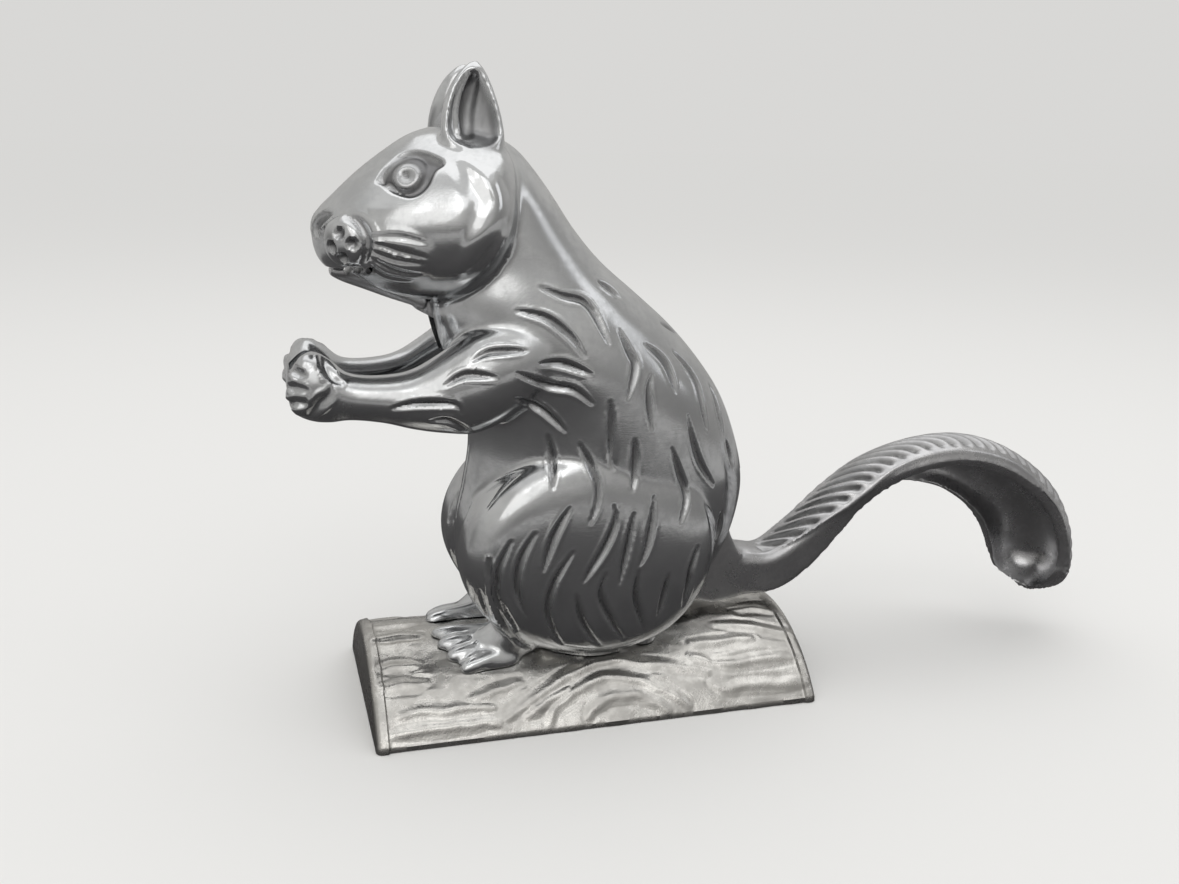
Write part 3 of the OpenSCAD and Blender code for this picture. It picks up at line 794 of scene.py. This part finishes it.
def furDetails(skin):
    tree = treeOf(skin)
    # Fur, rim and shin grooves get painted shade through their masks.
    groovedAt(skin, tree, furStrokes, 2.8, 1.0, lip=0.22, blunt=0.6, mask=0.8)
    rim = [[(489, 560), (490, 578), (499, 612), (520, 642), (557, 655), (595, 655.5), (626, 646),
            (671, 621), (697, 600), (717, 569), (727, 540)]]
    groovedAt(skin, tree, rim, 2.6, 0.9, lip=0.6, blunt=0.4, mask=0.35)
    shin = [[(471, 588), (476, 610), (484, 630)], [(480, 590), (486, 612), (496, 634)]]
    groovedAt(skin, tree, shin, 2.2, 0.7, lip=0.2, mask=0.4)


# Nothing reaches beyond the outer size of the construction.
def trimmed(skin):
    low, high = (np.array(corner) * 1000 for corner in cadBox)
    points, _ = readSkin(skin)
    spare = 0.02
    writeSkin(skin, np.clip(points, low + spare, high - spare))


# Both halves meet in a fine open seam.
def seamed(skin):
    points, normals = readSkin(skin)
    close = np.clip(1 - np.abs(points[:, 1]) / figure["seamReach"], 0, 1)
    points[:, [0, 2]] -= (normals * (figure["seam"] * close)[:, None])[:, [0, 2]]
    writeSkin(skin, points)


def hollows():
    wall = figure["wall"]
    t = smoothRows(trunkRows[:-2], 4)
    h = smoothRows(headRows[:-3], 4)
    return [
        lofted("trunkHollow", fullOvals(t[:, 1] + wall, t[:, 2] - wall, t[:, 3] - wall, t[:, 0])),
        lofted("headHollow",
               fullOvals(np.maximum(h[:, 1] + wall, figure["muzzleBack"]),
                         h[:, 2] - figure["napeWalls"] * wall, h[:, 3] * figure["cheekHalf"] - wall,
                         h[:, 0], figure["headSkew"])),
        lofted("armHollow", armRings(smoothRows(armRows[1:-3], 5), wall, wall * figure["armWalls"]))]


# What is cut from a half: slots of the lever, the mouth, everything beyond the parting plane, the log.
def cutsOfHalf():
    front, back, mouth = figure["slotFront"], figure["slotBack"], figure["slotMouth"]
    return [plate("leverFront", leverFront, -front, front), plate("leverBack", leverBack, -back, back),
            plate("mouthCut", mouthCut, -mouth, mouth),
            plate("farSide", [(-150, -80), (-150, 220), (150, 220), (150, -80)], 0, 60),
            lyingRound("logRound", 160, archRadius - 0.5, 256)]


def bosses():
    return ([bar("hubBoss", pivot, figure["hubBoss"], -27, -8.8)]
            + [bar("screwBoss", (x, z), bossRadius, -reach, 1) for x, z, reach in bodyScrewPlaces]
            + [post("footBoss", x, y, crown - 12, crown + 12) for x, y in baseScrewPlaces if y < 0])


softPlaces = [((36, -24, 56), (22, 14, 12), 40), ((-38, -15, 147), (12, 8, 4), 20),
              ((-38, -13, 168), (14, 10, 16), 8)]
near = nearSkin()
softened(near, softPlaces)
print("near half is cast,", len(near.data.polygons), "faces")
faceDetails(near)
fistDetails(near)
furDetails(near)
seamed(near)
trimmed(near)
near = worked(near, hollows(), "DIFFERENCE")
near = worked(near, bosses(), "UNION")
near = worked(near, cutsOfHalf(), "DIFFERENCE")
near = worked(near, [bar("lipGap", (x, figure["lipHeight"]), figure["lipGap"], -30, -8)
                     for x in jawTeeth[:3]], "DIFFERENCE")
far = mirrored(near, "farHalf")
far = worked(far, [bar("headWell", (x, z), figure["headWell"], 6, 70) for x, z, _ in bodyScrewPlaces],
             "DIFFERENCE")
finished(near, "figure", ["body_left"], figureFinish)
finished(far, "figure", ["body_right"], figureFinish)

# Widths of the lever's stretches and its saw teeth.
lever = {"grain": 0.6, "relax": 8, "root": 17.0, "arm": 11.0, "jaw": 25.0, "tail": 32.0, "wall": 4.0,
         "tipRings": 31, "hub": 10.0, "bore": 4.05, "toothHalf": 1.35, "toothFoot": 0.5,
         "toothTop": 118.6, "toothLow": 116}
# Place along X, height of the spine, width share, depth, hollow share, roll.
tailRows = [
    (52, 22, 0, 19, 0, 0), (60, 20.5, 0, 17.5, 0, 0), (68, 19.5, 0, 15, 0, 0),
    (76, 24.5, 0.1, 13.5, 0, 0), (84, 32, 0.3, 13, 0.1, 4), (93, 40, 0.5, 12.5, 0.3, 9),
    (105, 48.5, 0.7, 13, 0.7, 16), (120, 54, 0.9, 14, 0.95, 24), (137, 55.5, 1, 15, 1, 29),
    (153, 52, 1, 15.5, 1, 31), (168, 44, 1, 16, 1, 33), (180, 33.5, 1, 16.5, 1, 34),
    (188, 20.5, 1, 17, 1, 32), (191.5, 8, 0.95, 17, 1, 28), (191.6, 3, 0.9, 17.5, 1, 26),
    (190.6, -1.5, 0.65, 17, 0.95, 24), (188.6, -5, 0.15, 13.5, 0.7, 20), (185, -7.8, -0.75, 6, 0, 14)]
# Place along X, top, bottom, share of the width.
jawRows = [(-79, 117.5, 115.5, 0.3), (-75.5, 118, 113.6, 0.62), (-69, 118, 111.2, 0.86),
           (-62, 115, 108.6, 0.98), (-56, 112.2, 106.6, 1), (-51.5, 110.4, 105, 0.9)]
frontArm = [(-2, 44), (-8, 50), (-30, 88), (-42, 99), (-54, 105.4), (-54, 110.4), (-44, 109.5),
            (-30, 103), (-12, 82), (8, 58)]
rootArm = [(-1, 43), (14, 40), (30, 22), (40, 4), (46, 2), (56, 3), (57, 19), (55, 21), (52, 27),
           (52, 28), (38, 40), (18, 62), (4, 62)]


# Directions of the spine and, across it, away from the hollow. Sections of the tip stay parallel.
def tailWays(rows):
    ways = np.gradient(rows[:, :2], axis=0)
    ways[-lever["tipRings"]:] = ways[-lever["tipRings"]]
    ways /= np.linalg.norm(ways, axis=1)[:, None]
    return ways, np.stack([-ways[:, 1], ways[:, 0]], 1)


def tailRings(rows, around=60):
    ways, up = tailWays(rows)
    rings = []
    for r, u in zip(rows, up):
        half = (lever["root"] + (lever["tail"] - lever["root"]) * r[2]) / 2
        hollow = max(r[4] * (r[3] - lever["wall"]), 0)
        t = np.linspace(0, math.pi, around)
        dome = np.sin(t).clip(0) ** (1 - 0.35 * r[2])
        lip = lever["wall"] * 0.8 * min(r[4] / 0.3, 1)
        y = np.concatenate([-half * np.cos(t), (half - lip) * np.cos(t)])
        rise = np.concatenate([r[3] * (0.5 - (1 - dome) * (0.3 + 0.6 * r[2])), hollow * dome - r[3] / 2])
        roll = math.radians(r[5])
        side = y * math.cos(roll) + rise * math.sin(roll)
        lift = rise * math.cos(roll) - y * math.sin(roll) - r[3] / 2
        rings.append(np.stack([r[0] + u[0] * lift, side, r[1] + u[1] * lift + crown], 1))
    return np.array(rings)


def jawRings(around=64):
    rows = smoothRows(jawRows, 6)
    t = np.linspace(0, 2 * math.pi, around, endpoint=False)
    under = np.clip(-np.sin(t), 0, 1) ** 0.7
    z = rows[:, 1:2] + (rows[:, 2] - rows[:, 1])[:, None] * under + crown
    y = -lever["jaw"] / 2 * rows[:, 3:4] * np.cos(t)
    return np.stack([np.repeat(rows[:, :1], around, 1), y, z], 2)


# Where the smooth edge of the feather runs along the tail in the photograph.
featherEdge = [(742, 553), (779, 548), (810, 531), (847, 507), (870, 489), (894, 469), (918, 458),
               (945, 452), (973, 452), (996, 456), (1016, 464), (1034, 478), (1046, 496), (1052, 512)]
# Barbs and the bead at their edge, and between which places along the tail each comes or goes.
feather = {"fromX": 58, "pitch": 5.2, "depth": 1.5, "slope": 1.0, "spineShift": 5.0, "bead": 0.6,
           "beadWidth": 0.08, "barbsIn": (12, 17), "barbsOut": (216, 192), "beadIn": (2, 22),
           "beadOut": (215, 185), "shiftOut": (95, 55)}


# 0 at the start, 1 from the end on.
def fade(value, start, end):
    return np.clip((value - start) / (end - start), 0, 1)


# Place of skin points on the feather: nearest row, way along the spine, across it and above it.
def featherPlaces(points, rows, ways, up):
    middle = rows[:, :2] - up * (rows[:, 3] / 2)[:, None]
    run = np.concatenate([[0], np.cumsum(np.linalg.norm(np.diff(rows[:, :2], axis=0), axis=1))])
    tree = KDTree(len(rows))
    for k, (x, z) in enumerate(middle):
        tree.insert((x, z, 0), k)
    tree.balance()
    k = np.array([tree.find((x, z - crown, 0))[1] for x, _, z in points])
    off = points[:, [0, 2]] - rows[k, :2] - np.array([0, crown])
    lift = (off * up[k]).sum(1) + rows[k, 3] / 2
    roll = np.radians(rows[k, 5])
    rise = points[:, 1] * np.sin(roll) + lift * np.cos(roll)
    across = points[:, 1] * np.cos(roll) - lift * np.sin(roll)
    half = (lever["root"] + (lever["tail"] - lever["root"]) * rows[k, 2]) / 2
    low = np.maximum(0.38 * rows[k, 3] - rise, 0)
    return k, run[k] + (off * ways[k]).sum(1), across, rise, (np.abs(across) + 0.9 * low) / half


# Feather barbs slant from the spine of the tail to a bead at each edge.
def tailBarbs(piece):
    rows = smoothRows(tailRows, 30)
    ways, up = tailWays(rows)
    tree = treeOf(piece)
    traces = np.array([p for p in (traced(tree, e) for e in featherEdge) if p is not None])
    _, edgeAlong, _, _, edgeShare = featherPlaces(traces, rows, ways, up)
    order = np.argsort(edgeAlong)
    points, normals = readSkin(piece)
    chosen = np.nonzero(points[:, 0] > feather["fromX"])[0]
    k, along, across, rise, u = featherPlaces(points[chosen], rows, ways, up)
    roll = np.radians(rows[k, 5])
    n = normals[chosen]
    outward = (n[:, [0, 2]] * up[k]).sum(1)
    facing = outward * np.cos(roll) + n[:, 1] * np.sin(roll)
    sideways = (n[:, 1] * np.cos(roll) - outward * np.sin(roll)) * np.sign(across)
    outside = (facing > -0.35) & (sideways > -0.35) & (rise > -0.42 * rows[k, 3])
    edge = np.interp(along, edgeAlong[order], edgeShare[order])
    far = np.abs(across - feather["spineShift"] * fade(along, *feather["shiftOut"]))
    window = (fade(far, 0.4, 2.4) * fade(u, edge - 0.1, edge - 0.22)
              * fade(along, *feather["barbsIn"]) * fade(along, *feather["barbsOut"]))
    wave = np.abs(np.sin(math.pi * (along - feather["slope"] * far) / feather["pitch"]))
    cut = window * (1 - wave) ** 1.1 * outside
    bead = feather["bead"] * np.exp(-((u - edge) / feather["beadWidth"]) ** 2)
    lift = bead * fade(along, *feather["beadIn"]) * outside * fade(along, *feather["beadOut"])
    move, mask = np.zeros(len(points)), np.zeros(len(points))
    move[chosen] = lift - feather["depth"] * cut
    # Painted shade in the barb cuts.
    mask[chosen] = 0.8 * cut
    writeSkin(piece, points + normals * move[:, None])
    markRecessShade(piece, mask)


def leverSkin():
    rows = smoothRows(tailRows, 10)[2:]
    root, arm = lever["root"] / 2, lever["arm"] / 2
    forms = [lofted("tail", tailRings(rows)), plate("rootArm", rootArm, -root, root),
             plate("frontArm", frontArm, -arm, arm), bar("hub", pivot, lever["hub"], -root, root),
             lofted("jaw", jawRings())]
    return cast("tailLever", forms, lever["grain"], lever["relax"])


# Saw teeth across the front of the jaw.
def toothGaps():
    half, foot, top, low = (lever[k] for k in ("toothHalf", "toothFoot", "toothTop", "toothLow"))
    return [plate("toothGap", [(x - half, top), (x - foot, low), (x + foot, low), (x + half, top)],
                  -13, 13) for x in jawTeeth]


leverSoftPlaces = [((57, 0, 10), (14, 14, 13), 60), ((187, 0, -6), (12, 24, 12), 25),
                   ((112, 0, 42), (36, 26, 20), 12)]
leverPiece = leverSkin()
softened(leverPiece, leverSoftPlaces)
tailBarbs(leverPiece)
trimmed(leverPiece)
leverPiece = worked(leverPiece, [bar("pinHole", pivot, lever["bore"], -12, 12)] + toothGaps(), "DIFFERENCE")
finished(leverPiece, "lever", ["tail_lever"], tailFinish)

log = {"length": 145.0, "width": 80.0, "edge": 2.0, "bead": 4.0, "round": 2.5, "groove": 0.5,
       "wall": 4.0, "step": 0.52, "pointsUnder": 30}


def logSkin():
    half = log["length"] / 2
    along = np.linspace(-half, half, int(log["length"] / log["step"]))
    lean = math.asin(log["width"] / 2 / archRadius)
    turn = np.linspace(-lean, lean, int(2 * lean * archRadius / log["step"]))
    gap = half - np.abs(along)
    inner = np.clip((gap - log["bead"] + 0.3) / 0.6, 0, 1)
    radius = archRadius - log["groove"] * inner * inner * (3 - 2 * inner)
    bend = np.clip(1 - gap / log["round"], 0, 1)
    radius -= log["round"] * (1 - np.sqrt(1 - bend ** 2)) * 0.9
    bark = barkHeight(along, turn) * inner[:, None]
    r = radius[:, None] + bark
    y = r * np.sin(turn)
    z = np.maximum(archMiddle + r * np.cos(turn), log["edge"] * 0.6)
    y = np.clip(y, -log["width"] / 2, log["width"] / 2)
    rings = np.stack([np.repeat(along[:, None], len(turn), 1), y, z], 2)
    under = np.linspace(y[:, -1], y[:, 0], log["pointsUnder"]).T
    low = np.stack([np.repeat(along[:, None], log["pointsUnder"], 1), under, np.zeros_like(under)], 2)
    rings = np.concatenate([rings, low], 1)
    return lofted("logPiece", rings)


barkStrokes = [
    # left
    [(400, 717), (420, 712), (442, 711), (466, 709), (493, 707)], [(381, 688), (404, 685), (426, 684)],
    [(381, 669), (398, 667), (416, 666)], [(470, 700), (500, 690), (520, 683)],
    [(392, 735), (430, 731), (462, 726), (500, 722)], [(372, 640), (390, 637), (420, 634)],
    # right
    [(712, 624), (746, 626), (771, 631), (792, 634)], [(690, 642), (720, 643), (736, 640), (751, 639)],
    [(715, 663), (737, 664), (762, 659), (794, 657)],
    [(712, 684), (730, 689), (750, 685), (776, 685), (806, 682)],
    [(730, 610), (752, 609), (770, 612)], [(690, 655), (700, 660), (712, 664)],
    # knot
    [(506, 719), (531, 701), (563, 679), (595, 664), (620, 661), (650, 664), (680, 667), (707, 672)],
    [(550, 723), (557, 707), (582, 688), (605, 678), (628, 680), (650, 685), (672, 694), (688, 706)],
    [(589, 717), (595, 707), (612, 697), (636, 696), (655, 702), (668, 711)],
    [(528, 716), (548, 702), (568, 690)]]


# Raised grain and knot lines over a mottled ground.
def barkHeight(along, turn):
    arc = turn * archRadius
    height = np.empty((len(along), len(arc)))
    for i, x in enumerate(along):
        for j, s in enumerate(arc):
            wave = noise.noise(Vector((x / 40, s / 16, 0.3)))
            swell = noise.noise(Vector((x / 10, s / 6, 4.1)))
            rough = noise.noise(Vector((x / 2.2, s / 1.7, 9.4)))
            line = abs(math.sin(math.pi * (s / 7.5 + 0.9 * wave)))
            height[i, j] = (0.2 * max(1 - 1.6 * line, 0) * max(0.35 + 1.8 * swell, 0)
                            + 0.22 * swell + 0.05 * rough)
    return height - 0.35


def barkLines(piece):
    tree = treeOf(piece)
    paths = []
    for stroke in barkStrokes:
        path = strokePath(tree, stroke)
        if len(path):
            paths += [path, path * np.array([1, -1, 1])]
    wobble = [p + np.array([[0, 0.9 * noise.noise(Vector(q) / 6.0), 0] for q in p]) for p in paths]
    grooved(piece, wobble, 4.6, -0.65, lip=0.35, blunt=0.35, mask=0)
    # Side grooves beside the ridges, with a little painted shade.
    side = [p + np.array([0.3, -2.3 if p[0][1] < 0 else 2.3, 0]) for p in wobble]
    grooved(piece, side, 4.2, 0.35, lip=0, blunt=0.5, mask=0.2)


logPiece = logSkin()
barkLines(logPiece)
trimmed(logPiece)
sides = log["width"] / 2 - log["wall"]
cavity = worked(
    lyingRound("cavityRound", log["length"] / 2 - log["wall"], archRadius - log["wall"], 160),
    [plate("cavityBlock", [(-70, -24), (70, -24), (70, 30), (-70, 30)], -sides, sides)], "INTERSECT")
cavity = worked(cavity, [post("logBoss", x, y, baseSeat, 40) for x, y in baseScrewPlaces], "DIFFERENCE")
logPiece = worked(logPiece, [cavity], "DIFFERENCE")
finished(logPiece, "figure", ["log_base"], logFinish)

fixing = {"shank": 2.0, "thread": 0.28, "pitch": 0.7, "head": 3.5, "headHeight": 3.0, "slot": 1.0,
          "slotDeep": 1.2, "tip": 1.2, "bodySeat": 6.0, "bodyBite": 18, "baseBite": 21, "pin": 4.0,
          "pinHalf": 22.0, "pinChamfer": 0.6}


# Slotted screws on their seats; way points out of the heads, bite is the length below them.
def slottedScrews(name, seats, way, bite):
    way, side = np.array(way, float), np.array((1.0, 0, 0))
    lift = np.cross(way, side)
    full, head, high = fixing["shank"], fixing["head"], fixing["headHeight"]
    root = full - fixing["thread"]
    turns = np.arange(-bite + 1, -2, fixing["pitch"] / 2)
    profile = [(-bite, fixing["tip"])] + [(a, root if k % 2 else full) for k, a in enumerate(turns)]
    profile += [(-0.5, full), (0, full), (0.01, head - 0.3), (0.3, head), (high - 0.9, head),
                (high - 0.35, head - 0.4), (high, head - 1.3)]
    screws = []
    for seat in seats:
        screw = limb("screw", [seat + way * a for a, _ in profile], [r for _, r in profile], 40, 1, False)
        corners = [seat + way * a + side * b + lift * c for a in (high - fixing["slotDeep"], high + 0.3)
                   for b in (-head - 1, head + 1) for c in (-fixing["slot"] / 2, fixing["slot"] / 2)]
        slot = newPiece("slot", corners, [(0, 1, 3, 2), (4, 6, 7, 5), (0, 4, 5, 1), (2, 3, 7, 6),
                                          (0, 2, 6, 4), (1, 5, 7, 3)])
        screws.append(worked(screw, [slot], "DIFFERENCE"))
    return joined(name, screws)


bodySeats = [np.array((x, fixing["bodySeat"], z + crown)) for x, z, _ in bodyScrewPlaces]
bodyScrews = slottedScrews("bodyScrews", bodySeats, (0, 1, 0), fixing["bodyBite"])
finished(bodyScrews, "figure", ["body_screws"], steelFinish)
baseSeats = [np.array((x, y, baseSeat)) for x, y in baseScrewPlaces]
baseScrews = slottedScrews("baseScrews", baseSeats, (0, 0, -1), fixing["baseBite"])
finished(baseScrews, "figure", ["base_screws"], steelFinish)
pinEnd, chamfer = fixing["pinHalf"], fixing["pinChamfer"]
pinSteps = [(-pinEnd, chamfer), (chamfer - pinEnd, 0), (0, 0), (pinEnd - chamfer, 0), (pinEnd, chamfer)]
pivotPin = limb("pivotPin", [(pivot[0], y, pivot[1] + crown) for y, _ in pinSteps],
                [fixing["pin"] - less for _, less in pinSteps], 64, 1, False)
finished(pivotPin, "figure", ["pivot_pin"], steelFinish)


def plainFinish(name, colour, rough):
    finish = bpy.data.materials.new(name)
    finish.use_nodes = True
    shader = finish.node_tree.nodes["Principled BSDF"]
    shader.inputs["Base Color"].default_value = (*colour, 1)
    shader.inputs["Roughness"].default_value = rough
    return finish


# Light and surroundings, in metres.
room = {"floorReach": 20, "floorDrop": 0.0002, "floor": (0.74, 0.735, 0.72), "seen": (0.69, 0.685, 0.672),
        "strength": 0.93, "lampsAimAt": (0.03, 0, 0.08)}


def addFloor():
    r = room["floorReach"]
    floor = newPiece("floor", [(-r, -r, 0), (r, -r, 0), (r, r, 0), (-r, r, 0)], [(0, 1, 2, 3)])
    floor.location.z = -room["floorDrop"]
    finish = plainFinish("paleFloor", room["floor"], 0.8)
    finish.node_tree.nodes["Principled BSDF"].inputs["Specular IOR Level"].default_value = 0.0
    floor.data.materials.append(finish)


# What only reflections see, as photographers stand it round bright metal: a round grey wall with
# darker places, and a dark mat under the piece.
cards = {"radius": 1.3, "height": 1.5, "around": 96, "rows": 16, "matDrop": 0.0001,
         "dark": (0.035, 0.033, 0.034), "pale": (0.8, 0.79, 0.77)}
# Turn in degrees, spread in degrees, height in metres, how much darker.
darkPlaces = [(-95, 40, 0.2, 0.6), (-22, 36, 1.2, 0.45), (165, 22, 0.35, 0.5)]
# Radius in metres, shade.
matRings = [(0.1, 0.02), (0.3, 0.04), (0.42, 0.07), (0.46, 0.4), (1.3, 0.5)]


# Shade of the wall between dark (0) and pale (1) at a turn in degrees and a height in metres.
def wallShade(turn, z):
    shade = 0.5 + 0.26 * min(z / 0.9, 1)
    for middle, spread, high, share in darkPlaces:
        off = (turn - middle + 180) % 360 - 180
        reach = math.exp(-(off / spread) ** 2) * min(max((high - z) / 0.25 + 0.5, 0), 1)
        shade *= 1 - share * reach
    return shade


def shadedCard(name, verts, faces, shades):
    card = newPiece(name, verts, faces)
    layer = card.data.attributes.new("shade", "FLOAT", "POINT")
    layer.data.foreach_set("value", np.array(shades, np.float32))
    finish = plainFinish(name, cards["dark"], 0.9)
    nodes, links = finish.node_tree.nodes, finish.node_tree.links
    read, mix = nodes.new("ShaderNodeAttribute"), nodes.new("ShaderNodeMix")
    read.attribute_name, mix.data_type = "shade", "RGBA"
    mix.inputs[6].default_value, mix.inputs[7].default_value = (*cards["dark"], 1), (*cards["pale"], 1)
    links.new(read.outputs["Fac"], mix.inputs[0])
    links.new(mix.outputs[2], nodes["Principled BSDF"].inputs["Base Color"])
    card.data.materials.append(finish)
    card.visible_camera = card.visible_diffuse = card.visible_shadow = False
    card.data.shade_smooth()


def addCards():
    n, rows = cards["around"], cards["rows"]
    around = [(math.cos(2 * math.pi * k / n), math.sin(2 * math.pi * k / n)) for k in range(n)]
    heights = [cards["height"] * j / (rows - 1) for j in range(rows)]
    verts = [(cards["radius"] * x, cards["radius"] * y, z) for z in heights for x, y in around]
    faces = [(j * n + k, j * n + (k + 1) % n, (j + 1) * n + (k + 1) % n, (j + 1) * n + k)
             for j in range(rows - 1) for k in range(n)]
    shadedCard("greyWall", verts, faces, [wallShade(360 * k / n, z) for z in heights for k in range(n)])
    verts = [(r * x, r * y, -cards["matDrop"]) for r, _ in matRings for x, y in around]
    faces = [tuple(range(n))]
    faces += [(j * n + k, (j + 1) * n + k, (j + 1) * n + (k + 1) % n, j * n + (k + 1) % n)
              for j in range(len(matRings) - 1) for k in range(n)]
    shadedCard("darkMat", verts, faces, [shade for _, shade in matRings for k in range(n)])


# Name, place and size in metres, power in watts, tint.
lamps = [("windowLamp", (-0.5, -0.95, 0.75), (1.0, 0.9), 1.75, (1, 0.99, 0.97)),
         ("topLamp", (0.1, 0.15, 1.1), (1.3, 1.1), 2.4, (1, 1, 1)),
         ("frontLamp", (0.12, -1.0, 1.0), (0.8, 0.5), 0.9, (1, 1, 1)),
         ("brightCorner", (-0.55, -0.75, 0.95), (0.14, 0.2), 0.11, (1, 1, 1)),
         ("sideLamp", (0.95, -0.35, 0.6), (0.3, 0.6), 0.4, (0.97, 0.98, 1))]


def addLamp(name, place, size, power, tint):
    data = bpy.data.lights.new(name, "AREA")
    data.shape, data.size, data.size_y = "RECTANGLE", size[0], size[1]
    data.energy, data.color = power, tint
    lamp = bpy.data.objects.new(name, data)
    lamp.location = place
    aim = Vector(room["lampsAimAt"]) - Vector(place)
    lamp.rotation_euler = aim.to_track_quat("-Z", "Y").to_euler()
    scene.collection.objects.link(lamp)


def addWorld():
    world = bpy.data.worlds.new("paleRoom")
    world.use_nodes = True
    nodes, links = world.node_tree.nodes, world.node_tree.links
    sky = nodes["Background"]
    sky.inputs["Color"].default_value = (1, 1, 1, 1)
    sky.inputs["Strength"].default_value = room["strength"]
    seen = nodes.new("ShaderNodeBackground")
    seen.inputs["Color"].default_value = (*room["seen"], 1)
    path, mix = nodes.new("ShaderNodeLightPath"), nodes.new("ShaderNodeMixShader")
    either, more = nodes.new("ShaderNodeMath"), nodes.new("ShaderNodeMath")
    either.operation = more.operation = "MAXIMUM"
    links.new(path.outputs["Is Camera Ray"], either.inputs[0])
    links.new(path.outputs["Is Glossy Ray"], either.inputs[1])
    links.new(either.outputs[0], more.inputs[0])
    links.new(path.outputs["Is Transmission Ray"], more.inputs[1])
    links.new(more.outputs[0], mix.inputs[0])
    links.new(sky.outputs[0], mix.inputs[1])
    links.new(seen.outputs[0], mix.inputs[2])
    links.new(mix.outputs[0], nodes["World Output"].inputs["Surface"])
    scene.world = world


addFloor()
addCards()
for lamp in lamps:
    addLamp(*lamp)
addWorld()
scene.view_settings.view_transform = "Standard"
print("floor and light are set")
